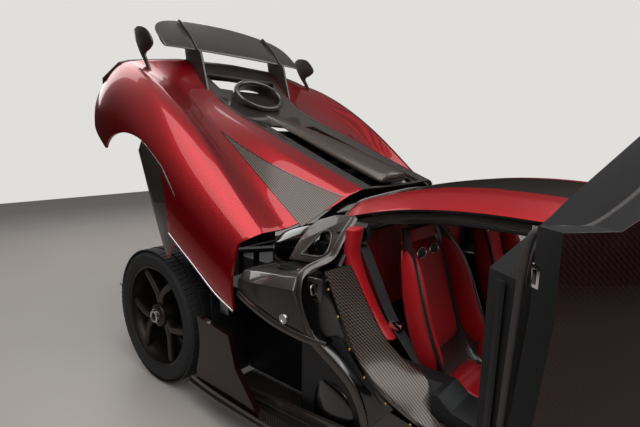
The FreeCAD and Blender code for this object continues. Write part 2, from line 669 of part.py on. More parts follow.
def build_seat_pad():
    back = side_prism(((-291, 915), (-215, 915), (-190, 760), (-110, 420), (-150, 310), (-178, 310), (-261.5, 610)),
                      (SEAT_Y - 225, SEAT_Y + 225))
    base = side_prism(((-96, 215.55), (-100, 300), (-80, 340), (300, 330), (318, 240.2)), (SEAT_Y - 225, SEAT_Y + 225))
    return Part.makeCompound([back, base])


DASH_HALF = 560.0


def build_dashboard():
    top = side_prism(((560, 640), (620, 760), (880, 770), (925, 640), (925, 560), (640, 560)), (-DASH_HALF, DASH_HALF))
    low = TUNNEL_TOP + SEAT_GAP
    console = side_prism(((-180, low), (-180, 420), (200, 440), (560, 560), (700, 600), (700, low)), (-105, 105))
    return top.fuse(console)


def build_steering_wheel(dashboard):
    rings = []
    for i in range(32):
        a = 2 * math.pi * i / 32
        rings.append([Vector(dx, (160 + dr) * math.cos(a), (160 + dr) * math.sin(a))
                      for dr, dx in ((-14, -6), (-6, -14), (6, -14), (14, -6), (14, 6), (6, 14), (-6, 14), (-14, 6))])
    ring = skinned(rings, True)
    hub = bar([Vector(-10, 0, 0), Vector(20, 0, 0)], 40)
    column = bar([Vector(15, 0, 0), Vector(205, 0, 0)], 22)
    arms = [box((-8, 8), (-158, 158), (-14, 14)), box((-8, 8), (-14, 14), (-158, 0))]
    wheel = ring.fuse([hub, column] + arms)
    wheel.rotate(Vector(0, 0, 0), Vector(0, 1, 0), 18.0)
    wheel.translate(Vector(440.0, SEAT_Y, 700.0))
    return largest(wheel.cut(dashboard))


def build_front_body():
    skin = shell(NOSE, [nose_half(s) for s in NOSE], SKIN)
    for side in (-1, 1):
        skin = skin.cut(arch(FRONT_AXLE_X, FRONT_TYRE_RADIUS, FRONT_ARCH_RADIUS, sorted((side * 500, side * 1100))))
    edge = ((1110, 0), (1092, 430), (850, 780), (755, 815), (700, 815))
    cowl = plan_prism(edge + tuple((x, -y) for x, y in reversed(edge[1:])), (600, 900))
    lid = plan_prism(BONNET_PLAN, (480, 900))
    lamps = both(lamp_pocket(0.0))
    return largest(skin.cut([cowl, lid, lamps]))


def build_bonnet():
    skin = shell(NOSE, [nose_half(s) for s in NOSE], SKIN)
    lid = skin.common(plan_prism(outline_inset(BONNET_PLAN, SHUT_GAP), (480, 900)))
    # The front corners are trimmed so that they turn clear of the nose
    corners = both(plan_prism(((1900, 500), (1900, 400), (BONNET_FRONT_X, 318), (2100, 318), (2100, 500)), (300, 900)))
    lid = largest(lid.cut([box((BONNET_FRONT_X, 2100), (-500, 500), (300, 900)), corners]))
    pin = BONNET_HINGE
    for y in (BONNET_ARM_Y, -BONNET_ARM_Y):
        arm = side_prism(((pin.x - 8, pin.z - 8), (pin.x + 8, pin.z + 8), (1900, 572), (1820, 578), (1820, 560)),
                         (y - LID_ARM_HALF, y + LID_ARM_HALF))
        shaft = axle(LID_PIN_RADIUS, (y - LID_ARM_HALF - HINGE_EAR, y + LID_ARM_HALF + HINGE_EAR), pin.x, pin.z)
        lid = lid.fuse([arm, shaft])
    return lid


def lamp_pocket(gap):
    points = outline_inset(((1790, 640), (1800, 830), (2080, 720), (2120, 560)), gap)
    return plan_prism(points, (380, 800))


def build_headlamp():
    skin = shell(NOSE, [nose_half(s) for s in NOSE], SKIN)
    return skin.common(lamp_pocket(SEAT_GAP))


def build_splitter():
    plate = plan_prism(((1640, -860), (1640, 860), (1900, 870), (2120, 740), (2240, 480), (HALF_LENGTH, 180),
                        (HALF_LENGTH, -180), (2240, -480), (2120, -740), (1900, -870)), (GROUND_CLEARANCE, SPLITTER_TOP))
    return plate


def build_side_blade():
    # Sill blade with a raised rear winglet
    inner = SILL_OUTER + SEAT_GAP
    front = SILL_FRONT_X
    lower = plan_prism(((front, inner), (front, 915), (0, 985), (-900, 1000), (-1140, 985), (-1165, 960), (-900, 930),
                        (TUB_REAR_X - 20, inner)), (GROUND_CLEARANCE, GROUND_CLEARANCE + 16))
    upper = side_prism(((front, GROUND_CLEARANCE + 16), (front, 284), (-20, 284), (-60, 250), (-620, 200),
                        (-1060, 150), (-1060, GROUND_CLEARANCE + 16)), (888, 906))
    return lower.fuse(upper)


def build_quarter():
    low = BLADE_TOP + SEAT_GAP
    points = ((-1112, 470), (-842, 440), (-800, 300), (-640, low), (-1085, low), (-1085, 200), (-1130, 250), (-1110, 330))
    plate = side_prism(points, (QUARTER_INNER, QUARTER_INNER + QUARTER_THICK))
    wheel = arch(REAR_AXLE_X, REAR_TYRE_RADIUS, REAR_ARCH_RADIUS, (900, 1100))
    return plate.cut(wheel)


def build_duct():
    # Shoulder duct, open at both ends, that leads air from behind the door to the engine bay
    rows = []
    for x, y0, y1, z0, z1 in ((-430, 800, 915, DUCT_FRONT_BOTTOM, 755), (-620, 790, 925, 560, 745), (-885, 720, 880, 600, 700)):
        rows.append((x, y0, y1, z0, z1))
    outer = solid_loft([(x, [(y0, z0), (y1, z0), (y1 + 8, (z0 + z1) / 2), (y1 - 30, z1), (y0, z1)])
                        for x, y0, y1, z0, z1 in rows])
    wall = 8.0
    inner = solid_loft([(x, [(y0 + wall, z0 + wall), (y1 - wall, z0 + wall), (y1 + 8 - wall, (z0 + z1) / 2),
                             (y1 - 30 - wall, z1 - wall), (y0 + wall, z1 - wall)])
                        for x, y0, y1, z0, z1 in ((-429, 800, 915, DUCT_FRONT_BOTTOM, 755), rows[1], (-886, 720, 880, 600, 700))])
    return outer.cut(inner)


def build_engine():
    block = box((-1240, -620), (-330, 330), (150, 640))
    gearbox = box((-1800, -1240), (-190, 190), (190, 480))
    return block.fuse(gearbox)


def build_plenum():
    return box((-1150, -680), (-210, 210), (640.3, 770))


def build_subframe():
    tubes = []
    for y in (390, -390):
        tubes.append(bar([Vector(TUB_REAR_X - SEAT_GAP, y, 250), Vector(-1455, y, 240), Vector(-2060, y * 0.9, 330)], 18))
        tubes.append(bar([Vector(TUB_REAR_X - 6, y, 800), Vector(-1455, y, 600), Vector(-2060, y * 0.9, 330)], 18))
        tubes.append(bar([Vector(-1455, y, 240), Vector(-1455, y, 600)], 16))
    for x, z, width in ((-1455, 600, 390), (REAR_CROSS_X, 330, LINER_STAY_Y - SEAT_GAP)):
        tubes.append(bar([Vector(x, -width, z), Vector(x, width, z)], 16))
    for side in (-1, 1):
        tubes.append(bar([Vector(REAR_CROSS_X, side * 351, 330), Vector(BEAM_FRONT_X + SEAT_GAP, side * 351, 330)], 18))
        # Pick-up posts for the wishbones
        for x, top in ((REAR_AXLE_X - REAR_ARM_SPREAD, 535), (REAR_AXLE_X + REAR_ARM_SPREAD, 628)):
            tubes.append(box((x - 14, x + 14), sorted((side * 380, side * REAR_POST_Y)), (212, top)))
    frame = tubes[0].fuse(tubes[1:])
    mounts = [box((-620 + SEAT_GAP, -580), (s * 360 - 45, s * 360 + 45), (225, 275)) for s in (-1, 1)]
    return frame.fuse(mounts)


def build_rear_arms():
    pieces = []
    z = REAR_TYRE_RADIUS
    for side in (1, -1):
        upright = box((-1515, -1395), sorted((side * 600, side * 640)), (z - UPRIGHT_HALF, z + UPRIGHT_HALF))
        stub = Part.makeCylinder(STUB_RADIUS - PIN_GAP, 150, Vector(REAR_AXLE_X, side * 600, z), Vector(0, side, 0))
        brake = side_caliper(REAR_RIM_RADIUS, REAR_TYRE_WIDTH, REAR_AXLE_X, z, REAR_TRACK_HALF, 640, side)
        arms = wishbones(REAR_AXLE_X, 620, z, REAR_POST_Y + 7.2, UPRIGHT_HALF - 5, side, REAR_ARM_SPREAD)
        bracket = box((REAR_AXLE_X + 40, REAR_AXLE_X + 190), sorted((side * 612, side * 648)), (z + 5, z + 70))
        pieces.append(upright.fuse([stub, brake, bracket] + arms))
    return pieces


def front_upright(side):
    z = FRONT_TYRE_RADIUS
    upright = box((FRONT_AXLE_X - 55, FRONT_AXLE_X + 55), sorted((side * 640, side * 690)),
                  (z - UPRIGHT_HALF, z + UPRIGHT_HALF))
    stub = Part.makeCylinder(STUB_RADIUS - PIN_GAP, 170, Vector(FRONT_AXLE_X, side * 650, z), Vector(0, side, 0))
    steer = box((FRONT_AXLE_X - 170, FRONT_AXLE_X - 40), sorted((side * 645, side * 675)), (z - 30, z))
    brake = side_caliper(FRONT_RIM_RADIUS, FRONT_TYRE_WIDTH, FRONT_AXLE_X, z, FRONT_TRACK_HALF, 690, side)
    bracket = box((FRONT_AXLE_X + 40, FRONT_AXLE_X + 180), sorted((side * 662, side * 698)), (z + 5, z + 70))
    return upright.fuse([stub, steer, brake, bracket])


def build_door_shell():
    outline = side_prism(outline_inset(DOOR_OUTLINE, SHUT_GAP / 2), (500, 1200))
    rows = []
    trim_rows = []
    for s in DOOR:
        outer = [s.low, s.side, s.waist]
        inner = [(y - DOOR_SKIN, z) for y, z in reversed(outer)]
        rows.append((s.x, outer + inner))
        trim_rows.append((s.x, [(s.low[0] - DOOR_SKIN + 2, s.low[1]), (s.side[0] - DOOR_SKIN + 2, s.side[1]),
                                (s.waist[0] - DOOR_SKIN + 2, s.waist[1]), (DOOR_TRIM_INNER + 12, s.waist[1]),
                                (DOOR_TRIM_INNER, s.side[1]), (DOOR_TRIM_INNER + 14, s.low[1])]))
    panel = solid_loft(rows).common(outline)
    trim = solid_loft(trim_rows).common(side_prism(TRIM_OUTLINE, (500, 1200)))
    frame_rows = [(s.x, [s.waist, s.rail, (s.rail[0] - 12, s.rail[1] - 14), (s.waist[0] - 34, s.waist[1] - 6)])
                  for s in DOOR]
    frame = solid_loft(frame_rows).common(outline).cut(side_prism(DOOR_GLASS_OUTLINE, (500, 1200)))
    reach = Vector(DOOR_PIVOT.x, DOOR_PIVOT.y + ARM_RADIUS + SHUT_GAP, DOOR_PIVOT.z)
    boss = Part.makeCylinder(PIVOT_BOSS, 110, reach, Vector(0, 1, 0))
    bore = Part.makeCylinder(PIVOT_RADIUS + PIN_GAP, PIVOT_REACH + PIN_GAP, DOOR_PIVOT, Vector(0, 1, 0))
    return panel.fuse([trim, frame, boss]).cut(bore)


def build_door_glass():
    rows = [(s.x, [(s.waist[0] - 8, s.waist[1]), (s.rail[0] - 4, s.rail[1]), (s.rail[0] - 4 - DOOR_GLASS, s.rail[1]),
                   (s.waist[0] - 8 - DOOR_GLASS, s.waist[1])]) for s in DOOR]
    pane = Part.makeLoft([polygon([Vector(x, y, z) for y, z in points]) for x, points in rows], True, True)
    return pane.common(side_prism(outline_inset(DOOR_GLASS_OUTLINE, SEAT_GAP), (500, 1200)))


def build_mirror(door):
    stalk = bar([Vector(560, 850, 745), Vector(560, 990, 850)], 11)
    head = rectangle_rail(((510, 1010, 862, 170, 92), (585, 1000, 862, 110, 56)))
    return largest(stalk.fuse(head).cut(door))


def build_door_arm():
    axis = Vector(DOOR_ARM_AXIS.x, DOOR_ARM_AXIS.y, DOOR_PIVOT.z)
    arm = bar([axis, Vector(DOOR_PIVOT.x, DOOR_PIVOT.y, DOOR_PIVOT.z)], ARM_RADIUS)
    eye = Part.makeCylinder(ARM_RADIUS + 6, ARM_RADIUS * 2, DOOR_PIVOT - Vector(0, ARM_RADIUS, 0), Vector(0, 1, 0))
    boss = Part.makeCylinder(ARM_BOSS_RADIUS, ARM_BOSS_HALF * 2, axis - Vector(0, 0, ARM_BOSS_HALF))
    pin = Part.makeCylinder(PIVOT_RADIUS, PIVOT_REACH, DOOR_PIVOT, Vector(0, 1, 0))
    return arm.fuse([eye, boss, pin])


def build_bulkhead_trim():
    # Pleated padding behind each seat
    front = TUB_REAR_X + TUB_WALL
    pads = []
    for y in range(130, 550, PLEAT_PITCH):
        pads.append(box((front + SEAT_GAP, front + 22), (y, y + PLEAT_PITCH - 2), (480, BULKHEAD_HEIGHT - 24)))
    return Part.makeCompound([pad for y_pad in pads for pad in (y_pad, mirror(y_pad))])


def build_diffuser():
    # Rear undertray with upright fins and a bumper beam
    floor = side_prism(((-1840, 150), (-1840, 162), (-HALF_LENGTH, 300), (-HALF_LENGTH, 288)), (-760, 760))
    fins = [side_prism(((-1860, 125), (-1860, 156), (-HALF_LENGTH, 292), (-HALF_LENGTH + 10, 190), (-2100, 140)),
                       (y - 4, y + 4)) for y in (-740, -560, -380, -200, 200, 380, 560, 740)]
    beam = plan_prism(((BEAM_FRONT_X, -780), (BEAM_FRONT_X, 780), (50 - HALF_LENGTH, 700), (-HALF_LENGTH, 400),
                       (-HALF_LENGTH, -400), (50 - HALF_LENGTH, -700)), (288, 400))
    body = floor.fuse(fins + [beam])
    hole = Part.makeCylinder(TOW_THREAD_RADIUS, TOW_THREAD_DEPTH, Vector(-HALF_LENGTH, -TOW_EYE_Y, 344), Vector(1, 0, 0))
    return body.cut(hole)


def build_exhaust():
    # Central muffler with two round pipes
    muffler = box((-2060, -1830), (-260, 260), (500, 620))
    pipes = []
    for y in (-95, 95):
        pipe = Part.makeCylinder(62, 180, Vector(-2200, y, 520), Vector(1, 0, 0))
        pipes.append(pipe.cut(Part.makeCylinder(56, 140, Vector(-2201, y, 520), Vector(1, 0, 0))))
    flat = 330 + 16 * math.cos(math.pi / 8)
    hanger = box((-2064, -2050), (-20, 20), (flat + SEAT_GAP, 500))
    return muffler.fuse(pipes + [hanger])


def caliper(radius, y0, y1, disc, slot, angle):
    ring = axle(radius, (y0, y1), 0, 0).cut(axle(radius * 0.62, (y0, y1), 0, 0))
    ring = ring.cut(axle(disc + 3, slot, 0, 0))
    wedge = side_prism(((0, 0), (600, -260), (600, 260)), (y0, y1))
    piece = ring.common(wedge)
    piece.rotate(Vector(0, 0, 0), Vector(0, 1, 0), -angle)
    return piece


def side_caliper(rim_radius, width, x, z, track, upright_y, side):
    half = width / 2 - 14.0
    disc_outer = half - 92.0
    inside = rim_radius - 14 - RIM_WALL - CALIPER_GAP
    slot = (disc_outer - DISC_THICKNESS - 5, disc_outer + 5)
    piece = caliper(inside, slot[0] - 18, track - upright_y, rim_radius - DISC_MARGIN, slot, 12.0)
    piece.translate(Vector(x, -track, z))
    return piece if side < 0 else mirror(piece)


def wishbones(x, y, z, inner_y, half, side, spread):
    pieces = []
    for level in (half + SEAT_GAP + BALL_RADIUS, -half - SEAT_GAP - BALL_RADIUS):
        ball = Vector(x, side * y, z + level)
        drop = -30 if level > 0 else 10
        for dx in (-spread, spread):
            root = Vector(x + dx, side * inner_y, z + level + drop)
            pieces.append(bar([root, ball], ARM_TUBE))
        pieces.append(bar([ball - Vector(0, 0, BALL_RADIUS), ball + Vector(0, 0, BALL_RADIUS)], BALL_RADIUS))
    return pieces


def build_front_arms():
    # Wishbones on two long rails at each side of the nose box
    rails = []
    for side in (-1, 1):
        arms = wishbones(FRONT_AXLE_X, KINGPIN_Y, FRONT_TYRE_RADIUS, 300, UPRIGHT_HALF, side, 150)
        rail = box((TUB_FRONT_X, 1640), sorted((side * 240, side * 300)), (150, 470))
        rails.append(rail.fuse(arms))
    cross = box((1600, 1640), (-240, 240), (150, 470))
    nose_frame = []
    for side in (-1, 1):
        nose_frame.append(box((1640, 2000), sorted((side * 120, side * 180)), (380, 430)))
        nose_frame.append(box((1900, 1940), sorted((side * 120, side * 180)), (SPLITTER_TOP + SEAT_GAP, 380)))
    ears = []
    for side in (-1, 1):
        y0 = side * BONNET_ARM_Y
        for y in (y0 - LID_ARM_HALF - HINGE_EAR, y0 + LID_ARM_HALF + SEAT_GAP):
            ears.append(box((BONNET_HINGE.x - 11, BONNET_HINGE.x + 9.5), (y, y + HINGE_EAR - SEAT_GAP),
                            (430, BONNET_HINGE.z + 10)))
    frame = rails[0].fuse([rails[1], cross] + nose_frame + ears)
    return frame.cut(axle(LID_PIN_RADIUS + PIN_GAP, (-300, 300), BONNET_HINGE.x, BONNET_HINGE.z))


def build_arch_liners():
    # Thin liners round the rear tyres
    radius = REAR_ARCH_RADIUS - 6
    ring = axle(radius, (LINER_STAY_Y, LINER_OUTER_Y), REAR_AXLE_X, REAR_TYRE_RADIUS)
    ring = ring.cut(axle(radius - 5, (LINER_STAY_Y, LINER_OUTER_Y), REAR_AXLE_X, REAR_TYRE_RADIUS))
    keep = side_prism(((-1120, 200), (-1120, 560), (-1000, 560), (-1000, 200)), (600, 1000))
    keep_rear = side_prism(((-1700, 200), (-1700, 560), (-1900, 560), (-1900, 200)), (600, 1000))
    front = ring.common(keep)
    rear = ring.common(keep_rear)
    stay = box((REAR_CROSS_X - 20, REAR_AXLE_X - radius + 2), (LINER_STAY_Y, LINER_STAY_Y + 20), (320, 345))
    tab = box((REAR_AXLE_X + radius - 7, REAR_AXLE_X + radius + 34), (LINER_OUTER_Y - 30, QUARTER_INNER - SEAT_GAP), (300, 320))
    return both(Part.makeCompound([front.fuse(tab), rear.fuse(stay)]))


def build_clam_blade(clam):
    # Hanging blade that shades the front upper part of each rear wheel
    outline = ((-1490, 700), (-1277, 536), (-1060, 385), (-1032, 400), (-1040, 560), (-1130, 690), (-1280, 765),
               (-1490, 790))
    face_y = REAR_TRACK_HALF + REAR_TYRE_WIDTH / 2 + BLADE_CLEARANCE
    return largest(side_prism(outline, (face_y, face_y + BLADE_THICKNESS)).cut(clam))


def build_tail_lamps():
    # Each lamp stands on the rear face of the upright band
    rear = CLAM[-1].x - TAIL_DEPTH
    rows = []
    for x in (rear - SEAT_GAP, rear - 16.0):
        rows.append((x, [(620, 836), (742, 822), (770, 790), (765, 766), (700, 780), (620, 800)]))
    return solid_loft(rows)


def build_sill_cover():
    # Riveted carbon band along the door opening
    band = ((-345, 800), (-160, 553), (-82, 430), (-82, 334), (500, 334), (500, 320), (-120, 320),
            (-170, 420), (-250, 540), (-415, 760))
    cover = side_prism(band, (SILL_OUTER + SEAT_GAP, 880))
    return cover


def opened_lid(shape):
    moved = shape.copy()
    moved.rotate(LID_HINGE, Vector(0, 1, 0), LID_ANGLE)
    return moved


def opened_arm(shape, side):
    moved = shape.copy() if side > 0 else mirror(shape)
    moved.rotate(Vector(DOOR_ARM_AXIS.x, side * DOOR_ARM_AXIS.y, 0), Vector(0, 0, 1), -side * DOOR_SWING)
    return moved


def opened_door(shape, side):
    moved = shape.copy()
    moved.rotate(DOOR_PIVOT, Vector(0, 1, 0), DOOR_ROLL)
    return opened_arm(moved, side)


def build():
    clam = build_clam()
    lid_shell = shell(CLAM, [clam_half(s) for s in CLAM], LID_SKIN)
    wing = build_wing()
    tail = build_tail()
    dashboard = build_dashboard()
    door = build_door_shell()
    parts["tub"] = build_tub()
    parts["cabin_frame"] = build_cabin_frame()
    parts["roof"] = build_roof()
    parts["windscreen"] = build_windscreen()
    parts["seat_shells"] = both(build_seat_shell())
    parts["seat_pads"] = both(build_seat_pad())
    parts["bulkhead_trim"] = build_bulkhead_trim()
    parts["sill_covers"] = both(build_sill_cover())
    parts["dashboard"] = dashboard
    parts["steering_wheel"] = build_steering_wheel(dashboard)
    parts["front_body"] = build_front_body()
    parts["bonnet"] = build_bonnet()
    parts["headlamps"] = both(build_headlamp())
    parts["front_splitter"] = build_splitter()
    parts["side_blades"] = both(build_side_blade())
    parts["quarter_panels"] = both(build_quarter())
    parts["shoulder_ducts"] = both(build_duct())
    parts["engine"] = build_engine()
    parts["intake_plenum"] = build_plenum()
    parts["rear_subframe"] = build_subframe()
    parts["rear_arms"] = Part.makeCompound(build_rear_arms())
    parts["front_arms"] = build_front_arms()
    parts["exhaust"] = build_exhaust()
    parts["diffuser"] = build_diffuser()
    parts["rear_arch_liners"] = build_arch_liners()
    parts["clam_skin"] = opened_lid(clam)
    parts["clam_tail"] = opened_lid(tail)
    parts["clam_spine"] = opened_lid(build_spine(lid_shell))
    parts["clam_hoop"] = opened_lid(build_hoop(lid_shell))
    parts["wing"] = opened_lid(wing)
    parts["wing_pylons"] = opened_lid(both(build_pylon(lid_shell, wing, tail)))
    parts["winglets"] = opened_lid(both(build_winglet(lid_shell)))
    parts["clam_blades"] = opened_lid(both(build_clam_blade(lid_shell)))
    parts["tail_lamps"] = opened_lid(both(build_tail_lamps()))
    for name, side in (("right", -1), ("left", 1)):
        parts["door_" + name] = opened_door(door, side)
        parts["door_glass_" + name] = opened_door(build_door_glass(), side)
        parts["door_mirror_" + name] = opened_door(build_mirror(door), side)
        parts["door_arm_" + name] = opened_arm(build_door_arm(), side)
        parts["knuckle_" + name] = front_upright(side)
        for end, x, radius, width, rim, track in (
                ("rear", REAR_AXLE_X, REAR_TYRE_RADIUS, REAR_TYRE_WIDTH, REAR_RIM_RADIUS, REAR_TRACK_HALF),
                ("front", FRONT_AXLE_X, FRONT_TYRE_RADIUS, FRONT_TYRE_WIDTH, FRONT_RIM_RADIUS, FRONT_TRACK_HALF)):
            tyre = build_tyre(radius, width, rim + RIM_FLANGE)
            parts["tyre_" + end + "_" + name] = place_wheel(tyre, x, side * track, radius)
            parts["rim_" + end + "_" + name] = place_wheel(build_rim(rim, width), x, side * track, radius)


build()
os.makedirs("parts", exist_ok=True)
for node, shape in parts.items():
    shape.exportStep("parts/" + node + ".step")
    print(node, "valid", shape.isValid(), "solids", len(shape.Solids), "volume %.0f cm3" % (shape.Volume / 1000))
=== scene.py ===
"""Looks of a two-seat mid-engined sports car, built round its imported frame.

Lengths are in metres, +X points to the nose, +Y to the left side and +Z up. The rear lid and both
doors are open at rest, and what rides on them is built shut and then turned to its opened place.
"""
import json
import logging
import math
from contextlib import contextmanager
from dataclasses import dataclass, field
from enum import Enum
from typing import Callable, Iterator, Optional, Sequence

import bmesh
import bpy
from mathutils import Matrix, Vector
from mathutils.bvhtree import BVHTree


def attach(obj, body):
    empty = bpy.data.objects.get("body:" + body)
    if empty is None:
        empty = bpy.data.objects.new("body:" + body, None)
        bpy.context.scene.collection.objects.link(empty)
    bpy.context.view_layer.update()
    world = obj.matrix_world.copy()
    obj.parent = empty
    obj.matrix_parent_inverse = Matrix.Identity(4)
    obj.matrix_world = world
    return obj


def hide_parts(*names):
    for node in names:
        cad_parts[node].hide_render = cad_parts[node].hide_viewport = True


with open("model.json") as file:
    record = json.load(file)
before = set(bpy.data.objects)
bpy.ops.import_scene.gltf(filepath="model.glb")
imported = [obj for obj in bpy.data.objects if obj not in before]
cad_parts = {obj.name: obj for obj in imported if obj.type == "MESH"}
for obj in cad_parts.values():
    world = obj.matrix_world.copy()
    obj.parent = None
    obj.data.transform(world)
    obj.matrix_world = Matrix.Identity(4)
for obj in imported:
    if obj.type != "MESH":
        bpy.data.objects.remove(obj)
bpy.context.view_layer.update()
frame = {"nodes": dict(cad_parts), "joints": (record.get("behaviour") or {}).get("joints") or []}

LOG = logging.getLogger("sports_car")
MM = 0.001
IMAGE_WIDTH = 640
REAR_AXLE = -1455 * MM
FRONT_AXLE = 1207 * MM
SIDES = {"right": -1.0, "left": 1.0}

Point = Sequence[float]
Rows = Sequence[Sequence[Point]]


def scaled(points: Sequence[Point], s: float = 1.0) -> list[tuple[float, ...]]:
    """Turn points in millimetres into metres.

    Args:
        points: Points with two or three measures.
        s: The side of the car, -1 or 1, which the second measure is counted to.

    Returns:
        The points in metres.
    """
    return [tuple(v * MM * (s if k == 1 else 1.0) for k, v in enumerate(point)) for point in points]


def around(u: float, v: float, steps: Sequence[Point]) -> list[tuple[float, float]]:
    """List the points that lie at steps in millimetres from one place in a plane."""
    return [(u + du * MM, v + dv * MM) for du, dv in steps]


def full_turn(count: int, closed: bool = False) -> list[float]:
    """List equal angles round a full turn, and its end too where it is closed."""
    return [2 * math.pi * i / count for i in range(count + closed)]


def circle(x: float, y: float, radius: float, count: int = 96) -> list[tuple[float, float]]:
    """List points on a circle in a plane."""
    return [(x + radius * math.cos(a), y + radius * math.sin(a)) for a in full_turn(count)]


def side_span(s: float, near: float, far: float) -> list[float]:
    """Give where a span across one side of the car starts and ends along Y."""
    return sorted((s * near, s * far))


def whole_row(x: float, half: Sequence[tuple[float, float]]) -> list[Vector]:
    """Complete half a cross-section to the other side of the car.

    Args:
        x: Where the section stands, in millimetres.
        half: Its points, y and z, from the right edge to the middle.

    Returns:
        The section from the right edge to the left one, in metres.
    """
    right = [Vector((x, -y, z)) * MM for y, z in half]
    left = [Vector((x, y, z)) * MM for y, z in reversed(half[:-1])]
    return right + left


def height_over(surface: BVHTree, x: float, y: float, fallback: float) -> float:
    """Find how high a surface lies over a place in plan."""
    hit = surface.ray_cast(Vector((x, y, 2.0)), Vector((0, 0, -1)))[0]
    return hit.z if hit else fallback


def srgb(code: str) -> tuple[float, float, float, float]:
    """Turn an sRGB hex colour into linear RGBA.

    Args:
        code: Six hex digits.

    Returns:
        Linear red, green, blue and an alpha of 1.
    """
    parts = [int(code[i:i + 2], 16) / 255 for i in (0, 2, 4)]
    linear = [c / 12.92 if c <= 0.04045 else ((c + 0.055) / 1.055) ** 2.4 for c in parts]
    return (linear[0], linear[1], linear[2], 1.0)


def add_node(tree: bpy.types.NodeTree, kind: str, links: Optional[dict] = None,
             **settings: object) -> bpy.types.Node:
    """Add one node with its settings and its inputs.

    Args:
        tree: The tree that gets the node.
        kind: The node's Blender type.
        links: For each input, by name or number, the socket that feeds it or its plain value.
        settings: Properties of the node.

    Returns:
        The new node.
    """
    node = tree.nodes.new(kind)
    for key, value in settings.items():
        setattr(node, key, value)
    for key, value in (links or {}).items():
        if isinstance(value, bpy.types.NodeSocket):
            tree.links.new(value, node.inputs[key])
        else:
            node.inputs[key].default_value = value
    return node


class Pattern(Enum):
    """Fine surface structure of a finish."""

    TWILL = "twill"
    GRAIN = "grain"
    MOULDED = "moulded"
    BRUSHED = "brushed"
    CAST = "cast"
    WEBBING = "webbing"
    CLEAR = "clear"


